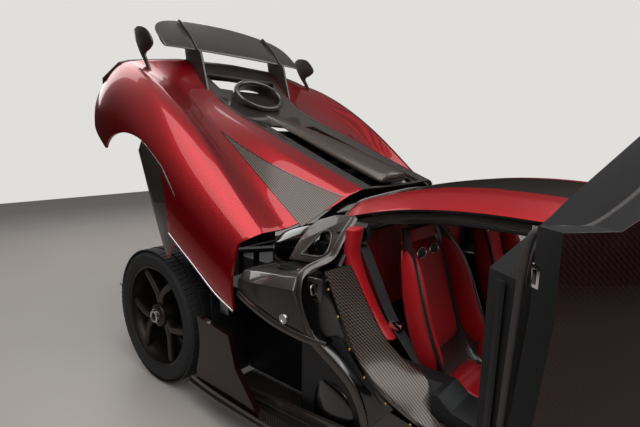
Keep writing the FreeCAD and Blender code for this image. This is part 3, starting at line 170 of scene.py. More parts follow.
@dataclass(frozen=True)
class Finish:
    """One surface finish, named for what the real surface is and how it was made."""

    name: str
    base: str
    accent: str
    pattern: Pattern
    scale_mm: float
    roughness: float
    metallic: float = 0.0
    ior: float = 1.5
    coat: float = 0.0
    coat_roughness: float = 0.03
    sheen: float = 0.0
    bump_mm: float = 0.0
    transmission: float = 0.0
    alpha: float = 1.0
    emission: float = 0.0

    def mask(self, tree: bpy.types.NodeTree) -> bpy.types.NodeSocket:
        """Build the finish's pattern as a socket from 0 to 1.

        Args:
            tree: The material's node tree.

        Returns:
            The socket that holds the pattern.
        """
        place = add_node(tree, "ShaderNodeTexCoord").outputs["Object"]
        period = self.scale_mm * MM
        if self.pattern is Pattern.TWILL:
            return self.twill(tree, place, period)
        if self.pattern is Pattern.WEBBING:
            ribs = add_node(tree, "ShaderNodeTexWave",
                            {"Vector": place, "Scale": 0.5 / period, "Distortion": 0.3},
                            bands_direction="DIAGONAL")
            return ribs.outputs["Fac"]
        if self.pattern is Pattern.BRUSHED:
            pulled = add_node(tree, "ShaderNodeMapping", {"Vector": place, "Scale": (0.06, 1.0, 1.0)})
            noise = add_node(tree, "ShaderNodeTexNoise", {"Vector": pulled.outputs[0], "Scale": 1 / period,
                                                          "Detail": 3.0})
            return noise.outputs["Fac"]
        if self.pattern is Pattern.GRAIN:
            cells = add_node(tree, "ShaderNodeTexVoronoi", {"Vector": place, "Scale": 1 / period},
                             feature="DISTANCE_TO_EDGE")
            ramp = add_node(tree, "ShaderNodeMapRange", {"Value": cells.outputs["Distance"],
                                                         "From Max": 0.25})
            return ramp.outputs[0]
        noise = add_node(tree, "ShaderNodeTexNoise", {"Vector": place, "Scale": 1 / period, "Detail": 4.0})
        return noise.outputs["Fac"]

    @staticmethod
    def twill(tree: bpy.types.NodeTree, place: bpy.types.NodeSocket, tow: float) -> bpy.types.NodeSocket:
        """Build a two-by-two twill that follows the body's length and its girth.

        Args:
            tree: The material's node tree.
            place: Object coordinates.
            tow: Width of one tow in metres.

        Returns:
            The socket that is 1 where the long tow lies on top, the place that the finish paints paler as a
            highlight.
        """
        axes = add_node(tree, "ShaderNodeSeparateXYZ", {0: place})
        side = add_node(tree, "ShaderNodeMath", {0: axes.outputs["Y"]}, operation="ABSOLUTE")
        girth = add_node(tree, "ShaderNodeMath", {0: axes.outputs["Z"], 1: side.outputs[0]},
                         operation="SUBTRACT")
        lean = add_node(tree, "ShaderNodeMath", {0: axes.outputs["Z"], 1: 0.4, 2: axes.outputs["X"]},
                        operation="MULTIPLY_ADD")
        counts = []
        for socket in (lean.outputs[0], girth.outputs[0]):
            share = add_node(tree, "ShaderNodeMath", {0: socket, 1: tow}, operation="DIVIDE")
            counts.append(add_node(tree, "ShaderNodeMath", {0: share.outputs[0]},
                                   operation="FLOOR").outputs[0])
        total = add_node(tree, "ShaderNodeMath", {0: counts[0], 1: counts[1]}, operation="ADD")
        turn = add_node(tree, "ShaderNodeMath", {0: total.outputs[0], 1: 4.0}, operation="FLOORED_MODULO")
        return add_node(tree, "ShaderNodeMath", {0: turn.outputs[0], 1: 2.0},
                        operation="LESS_THAN").outputs[0]

    def material(self) -> bpy.types.Material:
        """Return the finish's material, and build it at its first use."""
        ready = bpy.data.materials.get(self.name)
        if ready:
            return ready
        material = bpy.data.materials.new(self.name)
        material.use_nodes = True
        tree = material.node_tree
        tree.nodes.clear()
        mask = self.mask(tree)
        # Painted highlight: on twill finishes the paler accent on the long tows stands in for the weave's
        # sheen; on the other patterns the accent is the surface's own tone
        colour = add_node(tree, "ShaderNodeMix", {0: mask, 6: srgb(self.base), 7: srgb(self.accent)},
                          data_type="RGBA")
        wear = add_node(tree, "ShaderNodeMapRange", {"Value": mask, "To Min": self.roughness * 0.88,
                                                     "To Max": min(self.roughness * 1.12, 1.0)})
        shader = add_node(tree, "ShaderNodeBsdfPrincipled", {
            "Base Color": colour.outputs[2], "Roughness": wear.outputs[0], "Metallic": self.metallic,
            "IOR": self.ior, "Coat Weight": self.coat, "Coat Roughness": self.coat_roughness,
            "Sheen Weight": self.sheen, "Transmission Weight": self.transmission, "Alpha": self.alpha})
        if self.bump_mm > 0:
            bump = add_node(tree, "ShaderNodeBump", {"Height": mask, "Distance": self.bump_mm * MM,
                                                     "Strength": 0.6})
            tree.links.new(bump.outputs[0], shader.inputs["Normal"])
        if self.emission > 0:
            shader.inputs["Emission Color"].default_value = srgb(self.base)
            shader.inputs["Emission Strength"].default_value = self.emission
        output = add_node(tree, "ShaderNodeOutputMaterial", {"Surface": shader.outputs[0]})
        output.is_active_output = True
        return material


# Woven carbon under clear lacquer: near black, with grey on one set of tows painted in as their highlight
BARE_CARBON = Finish("lacquered_carbon", "1D1917", "4E4540", Pattern.TWILL, 3.4, 0.34, 0.45, coat=1.0)
# The same cloth under satin lacquer: greyer and with a broad soft gloss
SATIN_CARBON = Finish("satin_carbon", "1C1A19", "3A3532", Pattern.TWILL, 3.4, 0.46, 0.3, coat=0.35,
                      coat_roughness=0.3)
# Woven carbon under candy red lacquer: deep red that burns bright where light meets it
RED_CARBON = Finish("candy_red_carbon", "8C030E", "AE0715", Pattern.TWILL, 3.0, 0.34, 0.8, coat=0.7,
                    coat_roughness=0.04)
# The roof's red: the same lacquer with a thinner, softer gloss that keeps its colour under a flat light, over
# a brighter red base that is painted light on the up-facing roof
LIT_ROOF_RED = Finish("lit_roof_red_carbon", "A8020E", "CC0718", Pattern.TWILL, 3.0, 0.4, 0.6, coat=0.4,
                  coat_roughness=0.1)
# Candy red over carbon darkened with painted shade, for faces that see less light
SHADED_RED_CARBON = Finish("shaded_red_carbon", "1E0306", "270408", Pattern.TWILL, 3.0, 0.36, 0.5, coat=0.5)
# The cloth of the door opening and the lid's inlays: wider tows, with a paler painted highlight on one set
OPEN_CARBON = Finish("open_weave_carbon", "1E1917", "64564D", Pattern.TWILL, 4.2, 0.4, 0.5, coat=0.5,
                     coat_roughness=0.15)
SATIN_BLACK = Finish("moulded_satin_black", "0F0F11", "17171A", Pattern.MOULDED, 1.6, 0.5, bump_mm=0.15)
# Black for the door's shut faces, darker than the satin black as painted shade
SHADED_FACE_BLACK = Finish("shaded_matt_door_face", "050506", "09090A", Pattern.MOULDED, 1.6, 0.8, bump_mm=0.1)
GLOSS_BLACK = Finish("gloss_black_lacquer", "070708", "0B0B0D", Pattern.MOULDED, 8.0, 0.18, coat=1.0)
RUBBER = Finish("vulcanised_rubber", "161617", "1F1F20", Pattern.MOULDED, 2.5, 0.72, bump_mm=0.2)
SEAL_RUBBER = Finish("extruded_seal_rubber", "3A3735", "47433F", Pattern.MOULDED, 2.0, 0.6, bump_mm=0.1)
RED_LEATHER = Finish("smooth_red_leather", "A80712", "BC0C18", Pattern.GRAIN, 1.6, 0.42, sheen=0.05,
                     bump_mm=0.12)
BLACK_LEATHER = Finish("smooth_black_leather", "17161A", "222024", Pattern.GRAIN, 1.6, 0.5, bump_mm=0.12)
BRONZE = Finish("satin_bronze_wheel_paint", "2E2A28", "3A3532", Pattern.MOULDED, 0.8, 0.38, 0.75)
ALUMINIUM = Finish("machined_aluminium", "B4B4B6", "C8C8CA", Pattern.BRUSHED, 0.8, 0.28, 1.0)
DARK_ALUMINIUM = Finish("anodised_black_aluminium", "26262A", "323236", Pattern.BRUSHED, 0.8, 0.36, 0.9)
CHROME = Finish("polished_steel", "D8D8DA", "E2E2E4", Pattern.BRUSHED, 1.0, 0.08, 1.0)
STEEL = Finish("ground_steel", "6E6E70", "858587", Pattern.BRUSHED, 0.7, 0.35, 1.0)
TITANIUM = Finish("heat_tinted_titanium", "8A7F78", "6C6A80", Pattern.BRUSHED, 12.0, 0.3, 1.0)
CAST_ALLOY = Finish("sand_cast_alloy", "5C5C5E", "707072", Pattern.CAST, 2.2, 0.55, 0.8, bump_mm=0.4)
BRASS = Finish("turned_brass", "B08A4A", "C49A58", Pattern.BRUSHED, 0.6, 0.25, 1.0)
WEBBING = Finish("woven_belt_webbing", "141416", "222226", Pattern.WEBBING, 2.4, 0.7, sheen=0.2, bump_mm=0.3)
CLEAR_GLASS = Finish("laminated_glass", "C9D2D2", "C9D2D2", Pattern.CLEAR, 60.0, 0.02, transmission=1.0,
                     ior=1.45)
TINTED_GLASS = Finish("tinted_glass", "4E5658", "4E5658", Pattern.CLEAR, 60.0, 0.03, transmission=0.9,
                      ior=1.45)
RED_GLASS = Finish("red_lamp_glass", "7A0409", "9C060C", Pattern.CLEAR, 4.0, 0.08, coat=1.0, emission=0.15)
LAMP_WHITE = Finish("daylight_lamp", "F4F4F0", "FAFAF6", Pattern.CLEAR, 4.0, 0.2, emission=1.5)


def opened(*names: str) -> Matrix:
    """Give the matrix that takes a shut piece to its opened rest place.

    Args:
        names: Joints from the chassis outwards, each shut at the top of its range.

    Returns:
        The matrix from shut to rest.
    """
    shut = Matrix.Identity(4)
    for name in names:
        joint = next(j for j in frame["joints"] if j["name"] == name)
        place = Matrix.Translation(joint["pos_m"])
        angle = math.radians(joint["range_deg"][1])
        shut = shut @ place @ Matrix.Rotation(angle, 4, Vector(joint["axis"])) @ place.inverted()
    return shut.inverted()


def new_object(name: str, mesh: bpy.types.Mesh, finishes: Sequence[Finish]) -> bpy.types.Object:
    """Put a mesh in the scene with its finishes.

    Args:
        name: The object's name.
        mesh: Its mesh, in the frame's coordinates.
        finishes: One finish for each material slot.

    Returns:
        The new object, at the origin.
    """
    piece = bpy.data.objects.new(name, mesh)
    bpy.context.scene.collection.objects.link(piece)
    mesh.materials.clear()
    for finish in finishes:
        mesh.materials.append(finish.material())
    return piece


def bake(piece: bpy.types.Object) -> bpy.types.Object:
    """Turn the piece's modifiers into plain mesh.

    Args:
        piece: An object with live modifiers.

    Returns:
        The same object with its evaluated mesh.
    """
    graph = bpy.context.evaluated_depsgraph_get()
    mesh = bpy.data.meshes.new_from_object(piece.evaluated_get(graph))
    piece.modifiers.clear()
    piece.data = mesh
    return piece


@contextmanager
def edited(mesh: bpy.types.Mesh) -> Iterator[bmesh.types.BMesh]:
    """Open a mesh for editing, and write it back at the end."""
    shape = bmesh.new()
    shape.from_mesh(mesh)
    yield shape
    shape.to_mesh(mesh)
    shape.free()


def shade(piece: bpy.types.Object, angle: float = 35.0) -> bpy.types.Object:
    """Shade smooth, with sharp edges where faces meet at more than the angle."""
    mesh = piece.data
    mesh.polygons.foreach_set("use_smooth", [True] * len(mesh.polygons))
    with edited(mesh) as shape:
        for edge in shape.edges:
            edge.smooth = len(edge.link_faces) == 2 and edge.calc_face_angle(0.0) < math.radians(angle)
    return piece


def mesh_from(name: str, points: Sequence[Point], faces: Sequence[Sequence[int]]) -> bpy.types.Mesh:
    """Make a mesh with outward normals from points and faces."""
    mesh = bpy.data.meshes.new(name)
    mesh.from_pydata([tuple(p) for p in points], [], [list(f) for f in faces])
    with edited(mesh) as shape:
        bmesh.ops.remove_doubles(shape, verts=shape.verts, dist=1e-6)
        bmesh.ops.recalc_face_normals(shape, faces=shape.faces)
    return mesh


def grid_faces(rows: int, columns: int, closed: bool) -> list[list[int]]:
    """List the quads of a grid, whose columns may close into a ring."""
    faces = []
    for i in range(rows - 1):
        for j in range(columns if closed else columns - 1):
            k = (j + 1) % columns
            faces.append([i * columns + j, i * columns + k, (i + 1) * columns + k, (i + 1) * columns + j])
    return faces


def skinned(name: str, rows: Rows, finish: Finish, capped: bool = False) -> bpy.types.Object:
    """Skin closed sections into a tube, whose ends may be closed.

    Args:
        name: The object's name.
        rows: Sections with the same number of points.
        finish: Its finish.
        capped: Whether its ends are closed.

    Returns:
        The new object.
    """
    columns = len(rows[0])
    faces = grid_faces(len(rows), columns, True)
    if capped:
        faces.append(list(range(columns)))
        faces.append([(len(rows) - 1) * columns + j for j in range(columns)])
    return new_object(name, mesh_from(name, [p for row in rows for p in row], faces), [finish])


def loft(name: str, rows: Rows, finish: Finish, levels: int) -> bpy.types.Object:
    """Skin closed sections into a smooth solid.

    Args:
        name: The object's name.
        rows: Sections with the same number of points.
        finish: Its finish.
        levels: Levels of subdivision.

    Returns:
        The finished object.
    """
    piece = skinned(name, rows, finish, True)
    if levels:
        smooth = piece.modifiers.new("smooth", "SUBSURF")
        smooth.levels = smooth.render_levels = levels
        bake(piece)
    return shade(piece, 50.0)


def prism(name: str, outline: Sequence[Point], low: float, high: float, finish: Finish, axis: str = "Y",
          bevel: float = 0.0, segments: int = 2) -> bpy.types.Object:
    """Raise an outline into a plate.

    Args:
        name: The object's name.
        outline: Points x and z for a plate across Y, or x and y for a plate across Z.
        low: Where the plate starts along its axis.
        high: Where it ends.
        finish: Its finish.
        axis: The axis that the plate's thickness lies along.
        bevel: Width of the rounded edges.
        segments: Steps in each rounded edge.

    Returns:
        The finished object.
    """
    points = []
    for level in (low, high):
        points += [(p[0], level, p[1]) if axis == "Y" else (p[0], p[1], level) for p in outline]
    count = len(outline)
    faces = [list(range(count)), [count + j for j in range(count)]]
    faces += [[j, (j + 1) % count, count + (j + 1) % count, count + j] for j in range(count)]
    piece = new_object(name, mesh_from(name, points, faces), [finish])
    if bevel > 0:
        soften(piece, bevel, segments)
    return piece


def plate(name: str, outline: Sequence[Point], y: float, half: float, finish: Finish, bevel: float = 0.0,
          segments: int = 2) -> bpy.types.Object:
    """Raise an upright outline by half a thickness to both sides of its place across the car."""
    return prism(name, outline, y - half, y + half, finish, bevel=bevel, segments=segments)


def soften(piece: bpy.types.Object, width: float, segments: int, angle: float = 30.0) -> bpy.types.Object:
    """Round the piece's edges."""
    rounding = piece.modifiers.new("rounding", "BEVEL")
    rounding.width = width
    rounding.segments = segments
    rounding.limit_method = "ANGLE"
    rounding.angle_limit = math.radians(angle)
    rounding.harden_normals = False
    bake(piece)
    return shade(piece, 40.0)


def smooth_line(points: Sequence[Point], steps: int) -> list[Vector]:
    """Draw a Catmull-Rom curve through the points.

    Args:
        points: Points on the line.
        steps: Pieces between neighbouring points.

    Returns:
        The points of the finer line.
    """
    knots = [Vector(p) for p in points]
    knots = [knots[0] * 2 - knots[1]] + knots + [knots[-1] * 2 - knots[-2]]
    line = []
    for a, b, c, d in zip(knots, knots[1:], knots[2:], knots[3:]):
        for i in range(steps):
            t = i / steps
            line.append(0.5 * ((2 * b) + (c - a) * t + (2 * a - 5 * b + 4 * c - d) * t * t
                               + (3 * b - a - 3 * c + d) * t ** 3))
    line.append(knots[-2])
    return line


def sweep(name: str, points: Sequence[Point], width: float, height: float, finish: Finish,
          up: Point = (0, 0, 1), sides: int = 12, steps: int = 6, square: bool = False) -> bpy.types.Object:
    """Draw an oval or flat section along a smooth line.

    Args:
        name: The object's name.
        points: Points on the line.
        width: Width across the line.
        height: Height along the up direction.
        finish: Its finish.
        up: Direction of the section's height.
        sides: Points in the section.
        steps: Pieces between neighbouring points.
        square: Whether the section is a flat band in place of an oval.

    Returns:
        The finished object.
    """
    line = smooth_line(points, steps)
    if square:
        ring = [(0.5, 0.5), (-0.5, 0.5), (-0.5, -0.5), (0.5, -0.5)]
    else:
        ring = [(0.5 * math.cos(a), 0.5 * math.sin(a)) for a in full_turn(sides)]
    rows = []
    for i, place in enumerate(line):
        along = (line[min(i + 1, len(line) - 1)] - line[max(i - 1, 0)]).normalized()
        across = along.cross(Vector(up)).normalized()
        rise = across.cross(along)
        rows.append([place + across * (u * width) + rise * (v * height) for u, v in ring])
    return loft(name, rows, finish, 0)


def revolve(name: str, profile: Sequence[Point], axis: str, finish: Finish,
            segments: int) -> bpy.types.Object:
    """Turn a closed profile of radius and offset round an axis.

    Args:
        name: The object's name.
        profile: Points of radius and offset along the axis.
        axis: Y or Z.
        finish: Its finish.
        segments: Steps round the axis.

    Returns:
        The finished object.
    """
    rows = []
    for a in full_turn(segments, True):
        row = []
        for radius, offset in profile:
            u, v = radius * math.cos(a), radius * math.sin(a)
            row.append((u, offset, v) if axis == "Y" else (u, v, offset))
        rows.append(row)
    return shade(skinned(name, rows, finish), 32.0)


def join(name: str, pieces: Sequence[bpy.types.Object]) -> bpy.types.Object:
    """Join pieces into one object with all their finishes."""
    finishes: list[bpy.types.Material] = []
    shape = bmesh.new()
    for piece in pieces:
        places = []
        for material in piece.data.materials:
            if material not in finishes:
                finishes.append(material)
            places.append(finishes.index(material))
        start = len(shape.faces)
        shape.from_mesh(piece.data)
        shape.faces.ensure_lookup_table()
        for face in shape.faces[start:]:
            face.material_index = places[face.material_index] if places else 0
    mesh = bpy.data.meshes.new(name)
    shape.to_mesh(mesh)
    shape.free()
    for material in finishes:
        mesh.materials.append(material)
    for piece in pieces:
        bpy.data.objects.remove(piece)
    whole = bpy.data.objects.new(name, mesh)
    bpy.context.scene.collection.objects.link(whole)
    return whole


def block(name: str, low: Point, high: Point, finish: Finish, bevel: float = 2 * MM) -> bpy.types.Object:
    """Make a box between two corners with rounded edges."""
    outline = [(low[0], low[2]), (high[0], low[2]), (high[0], high[2]), (low[0], high[2])]
    return prism(name, outline, low[1], high[1], finish, bevel=bevel)


def side_block(name: str, s: float, low: Point, high: Point, finish: Finish,
               bevel: float) -> bpy.types.Object:
    """Make a box on one side of the car.

    Args:
        name: The object's name.
        s: The side, -1 or 1.
        low: Its first corner in millimetres, with y counted outwards.
        high: Its last corner.
        finish: Its finish.
        bevel: Width of the rounded edges.

    Returns:
        The finished object.
    """
    near, far = scaled((low, high))
    y0, y1 = side_span(s, near[1], far[1])
    return block(name, (near[0], y0, near[2]), (far[0], y1, far[2]), finish, bevel)


def smooth_sheet(name: str, rows: Rows, finishes: Sequence[Finish], wall: float, sharp: dict[int, float],
                 levels: int = 3) -> bpy.types.Object:
    """Make a smooth body panel from cross-sections.

    Args:
        name: The object's name.
        rows: Cross-sections with the same number of points.
        finishes: Its finishes.
        wall: Thickness inwards from the outer face.
        sharp: Crease for the lines along some columns, counted from both edges.
        levels: Levels of subdivision.

    Returns:
        A closed panel.
    """
    columns = len(rows[0])
    mesh = bpy.data.meshes.new(name)
    mesh.from_pydata([tuple(p) for row in rows for p in row], [], grid_faces(len(rows), columns, False))
    with edited(mesh) as shape:
        middle = sum((v.co for v in shape.verts), Vector()) / len(shape.verts)
        if sum(f.normal.dot(f.calc_center_median() - middle) * f.calc_area() for f in shape.faces) < 0:
            bmesh.ops.reverse_faces(shape, faces=shape.faces)
        crease = shape.edges.layers.float.new("crease_edge")
        for edge in shape.edges:
            a, b = (v.index for v in edge.verts)
            column = a % columns
            if column == b % columns:
                edge[crease] = sharp.get(column, sharp.get(columns - 1 - column, 0.0))
    piece = new_object(name, mesh, finishes)
    smooth = piece.modifiers.new("smooth", "SUBSURF")
    smooth.levels = smooth.render_levels = levels
    if wall > 0:
        thick = piece.modifiers.new("wall", "SOLIDIFY")
        thick.thickness = wall
        thick.offset = -1.0
        thick.use_even_offset = True
    return bake(piece)


def paint(piece: bpy.types.Object, choose: Callable[[Vector, Vector], int]) -> bpy.types.Object:
    """Set each face's finish from its place and its normal."""
    for face in piece.data.polygons:
        face.material_index = choose(face.center, face.normal)
    return piece


def repeated(name: str, template: bpy.types.Object, places: Sequence[Point], finish: Finish,
             turn_deg: float = 0.0) -> bpy.types.Object:
    """Repeat a template at a list of places with geometry nodes.

    Args:
        name: The new object's name.
        template: The piece to repeat, which is dropped afterwards.
        places: Where the copies' origins go.
        finish: The finish of all copies.
        turn_deg: How much further each copy is turned about Y.

    Returns:
        One mesh with all the copies.
    """
    mesh = bpy.data.meshes.new(name)
    mesh.from_pydata([tuple(p) for p in places], [], [])
    piece = new_object(name, mesh, [finish])
    tree = bpy.data.node_groups.new("repeat", "GeometryNodeTree")
    tree.interface.new_socket("Geometry", in_out="INPUT", socket_type="NodeSocketGeometry")
    for label, kind in (("Template", "NodeSocketObject"), ("Turn", "NodeSocketFloat"),
                        ("Axis", "NodeSocketVector"), ("Material", "NodeSocketMaterial")):
        tree.interface.new_socket(label, in_out="INPUT", socket_type=kind)
    tree.interface.new_socket("Geometry", in_out="OUTPUT", socket_type="NodeSocketGeometry")
    given = add_node(tree, "NodeGroupInput")
    shape = add_node(tree, "GeometryNodeObjectInfo", {"Object": given.outputs["Template"]})
    count = add_node(tree, "GeometryNodeInputIndex")
    angle = add_node(tree, "ShaderNodeMath", {0: count.outputs[0], 1: given.outputs["Turn"]},
                     operation="MULTIPLY")
    turn = add_node(tree, "ShaderNodeVectorMath", {0: given.outputs["Axis"], "Scale": angle.outputs[0]},
                    operation="SCALE")
    copies = add_node(tree, "GeometryNodeInstanceOnPoints", {"Points": given.outputs["Geometry"],
                                                             "Instance": shape.outputs["Geometry"],
                                                             "Rotation": turn.outputs[0]})
    real = add_node(tree, "GeometryNodeRealizeInstances", {"Geometry": copies.outputs[0]})
    coloured = add_node(tree, "GeometryNodeSetMaterial", {"Geometry": real.outputs[0],
                                                          "Material": given.outputs["Material"]})
    add_node(tree, "NodeGroupOutput", {"Geometry": coloured.outputs[0]})
    modifier = piece.modifiers.new("repeat", "NODES")
    modifier.node_group = tree
    values = {"Template": template, "Turn": math.radians(turn_deg), "Axis": (0.0, 1.0, 0.0),
              "Material": finish.material()}
    for item in tree.interface.items_tree:
        if item.in_out == "INPUT" and item.name in values:
            modifier[item.identifier] = values[item.name]
    bake(piece)
    bpy.data.objects.remove(template)
    return piece


def both_sides(name: str, make: Callable[[str], bpy.types.Object]) -> bpy.types.Object:
    """Join what is built for each side of the car."""
    return shade(join(name, [make(side) for side in SIDES]))


def move(piece: bpy.types.Object, matrix: Matrix) -> bpy.types.Object:
    """Move the piece's mesh by a matrix, and turn its faces out again after a mirror."""
    piece.data.transform(matrix)
    if matrix.determinant() < 0:
        piece.data.flip_normals()
    return piece


def carve(piece: bpy.types.Object, cutters: Sequence[bpy.types.Object],
          operation: str = "DIFFERENCE") -> bpy.types.Object:
    """Cut the piece with closed shapes and drop them."""
    for cutter in cutters:
        cut = piece.modifiers.new("cut", "BOOLEAN")
        cut.operation = operation
        cut.solver = "EXACT"
        cut.object = cutter
        bake(piece)
        bpy.data.objects.remove(cutter)
    return piece


def softened_copy(node: str, name: str, finish: Finish, width: float = 1.5 * MM) -> bpy.types.Object:
    """Copy a CAD node with rounded edges.

    Args:
        node: The node's name.
        name: The copy's name.
        finish: Its finish.
        width: Width of the rounded edges.

    Returns:
        The new object.
    """
    mesh = frame["nodes"][node].data.copy()
    with edited(mesh) as shape:
        bmesh.ops.remove_doubles(shape, verts=shape.verts, dist=2e-5)
        bmesh.ops.dissolve_limit(shape, angle_limit=math.radians(1.0), verts=shape.verts, edges=shape.edges)
    piece = new_object(name, mesh, [finish])
    return soften(piece, width, 2, 28.0)


def dress(node: str, finish: Finish) -> None:
    """Give a CAD node its finish."""
    mesh = frame["nodes"][node].data
    mesh.materials.clear()
    mesh.materials.append(finish.material())


def seat(piece: bpy.types.Object, body: str, slot: str, *nodes: str) -> bpy.types.Object:
    """Ride the piece on its body and let it stand for the nodes.

    Args:
        piece: The finished piece.
        body: The body that it moves with.
        slot: The record's material slot; not used.
        nodes: CAD nodes that it replaces.

    Returns:
        The same piece.
    """
    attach(piece, body)
    if nodes:
        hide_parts(*nodes)
    LOG.info("%s rides on %s with %d faces", piece.name, body, len(piece.data.polygons))
    return piece


@dataclass
class Studio:
    """Pale floor, soft lights and the camera at the photographed angle."""

    eye: tuple[float, float, float] = (0.617, -2.101, 1.29)
    heading_deg: float = 40.207
    down_deg: float = 9.763
    roll_deg: float = 0.863
    focal_px: float = 446.4
    sensor_mm: float = 36.0
    floor_size: float = 18.0
    aim: tuple[float, float, float] = (-1.0, 0.0, 0.6)
    # Strength of the room in reflections, of its plain light and of the backdrop
    room: float = 0.38
    fill: float = 0.3
    backdrop: float = 0.95
    # Place, size and power of each soft light
    softboxes: tuple[tuple[tuple[float, float, float], float, float], ...] = (
        ((0.2, -1.4, 4.8), 4.4, 150.0), ((1.6, 3.6, 4.4), 3.6, 80.0), ((-5.0, 0.5, 3.6), 3.6, 80.0),
        ((3.6, -3.6, 4.4), 3.6, 90.0))

    def camera(self) -> None:
        """Set up the camera."""
        turn = math.radians(self.heading_deg)
        down = math.radians(self.down_deg)
        roll = math.radians(self.roll_deg)
        ahead = Vector((-math.sin(turn) * math.cos(down), math.cos(turn) * math.cos(down), -math.sin(down)))
        right = Vector((math.cos(turn), math.sin(turn), 0.0))
        up = right.cross(ahead)
        tilted = right * math.cos(roll) + up * math.sin(roll)
        upright = up * math.cos(roll) - right * math.sin(roll)
        lens = bpy.data.cameras.new("camera")
        lens.sensor_width = self.sensor_mm
        lens.lens = self.focal_px * self.sensor_mm / IMAGE_WIDTH
        camera = bpy.data.objects.new("camera", lens)
        bpy.context.scene.collection.objects.link(camera)
        pose = Matrix((tilted, upright, -ahead)).transposed().to_4x4()
        camera.matrix_world = Matrix.Translation(self.eye) @ pose
        bpy.context.scene.camera = camera

    def lights(self) -> None:
        """Hang the soft lights and turn them to the car."""
        for place, size, power in self.softboxes:
            lamp = bpy.data.lights.new("softbox", "AREA")
            lamp.size = size
            lamp.energy = power
            box = bpy.data.objects.new("softbox", lamp)
            box.location = place
            box.rotation_euler = (Vector(self.aim) - Vector(place)).to_track_quat("-Z", "Y").to_euler()
            bpy.context.scene.collection.objects.link(box)

    def world(self) -> None:
        """Surround the car with a pale room that is darker to its reflections than to the camera."""
        world = bpy.data.worlds.new("studio")
        world.use_nodes = True
        tree = world.node_tree
        tree.nodes.clear()
        rays = add_node(tree, "ShaderNodeLightPath")
        seen = add_node(tree, "ShaderNodeMath",
                        {0: rays.outputs["Is Camera Ray"], 1: rays.outputs["Is Transmission Ray"]},
                        operation="MAXIMUM")
        place = add_node(tree, "ShaderNodeTexCoord").outputs["Generated"]
        height = add_node(tree, "ShaderNodeSeparateXYZ", {0: place}).outputs["Z"]
        share = add_node(tree, "ShaderNodeMapRange", {"Value": height, "From Min": 0.25, "From Max": 0.95})
        tone = add_node(tree, "ShaderNodeMix", {0: share.outputs[0], 6: srgb("35302D"), 7: srgb("F2F0EE")},
                        data_type="RGBA")
        room = add_node(tree, "ShaderNodeBackground", {"Color": tone.outputs[2], "Strength": self.room})
        plain = add_node(tree, "ShaderNodeBackground", {"Color": srgb("C4C8CE"), "Strength": self.fill})
        soft = add_node(tree, "ShaderNodeMixShader",
                        {0: rays.outputs["Is Glossy Ray"], 1: plain.outputs[0], 2: room.outputs[0]})
        pale = add_node(tree, "ShaderNodeBackground", {"Color": srgb("E6E4E1"), "Strength": self.backdrop})
        mixed = add_node(tree, "ShaderNodeMixShader", {0: seen.outputs[0], 1: soft.outputs[0],
                                                       2: pale.outputs[0]})
        add_node(tree, "ShaderNodeOutputWorld", {"Surface": mixed.outputs[0]})
        bpy.context.scene.world = world
        bpy.context.scene.view_settings.view_transform = "Standard"

    def floor(self) -> None:
        """Lay the floor."""
        half = self.floor_size / 2
        corners = [(-half, -half, 0), (half, -half, 0), (half, half, 0), (-half, half, 0)]
        mesh = mesh_from("floor", corners, [[0, 1, 2, 3]])
        pale = Finish("pale_floor", "A39D98", "A7A19C", Pattern.MOULDED, 400.0, 0.5, emission=0.06)
        new_object("floor", mesh, [pale])

    def build(self) -> None:
        """Set up the whole studio."""
        self.camera()
        self.lights()
        self.world()
        self.floor()


@dataclass(frozen=True)
class LidStation:
    """One cross-section of the rear lid in millimetres, from the wheel opening to the middle."""

    x: float
    low: tuple[float, float]
    side: tuple[float, float]
    shoulder: tuple[float, float]
    crest: tuple[float, float]
    inner: tuple[float, float]
    valley: tuple[float, float]
    flank: tuple[float, float]
    ridge: tuple[float, float]
    rail: tuple[float, float]
    centre: float

    def row(self) -> list[Vector]:
        """Give the whole section from the right edge to the left one, in metres."""
        return whole_row(self.x, [self.low, self.side, self.shoulder, self.crest, self.inner, self.valley,
                                  self.flank, self.ridge, self.rail, (0.0, self.centre)])


LID_STATIONS = (
    LidStation(-560, (962, 450), (975, 510), (955, 610), (890, 715), (835, 745), (700, 752), (560, 850),
               (430, 975), (345, 1012), 1000),
    LidStation(-850, (992, 480), (1006, 545), (986, 660), (895, 765), (830, 790), (690, 772), (560, 830),
               (435, 935), (345, 965), 945),
    LidStation(-1150, (1012, 500), (1022, 590), (1000, 730), (880, 835), (805, 852), (680, 805), (560, 825),
               (435, 905), (345, 925), 895),
    LidStation(-1455, (1012, 520), (1024, 650), (1000, 800), (865, 895), (785, 905), (675, 845), (560, 830),
               (435, 868), (345, 882), 845),
    LidStation(-1800, (985, 505), (1008, 640), (975, 810), (850, 915), (785, 925), (680, 875), (560, 820),
               (435, 826), (345, 830), 790),
    LidStation(-2050, (950, 495), (970, 610), (935, 780), (830, 890), (775, 905), (680, 890), (560, 880),
               (435, 882), (345, 885), 880),
    LidStation(-2190, (885, 485), (905, 580), (875, 740), (800, 850), (750, 870), (680, 885), (560, 905),
               (435, 925), (345, 932), 940),
)


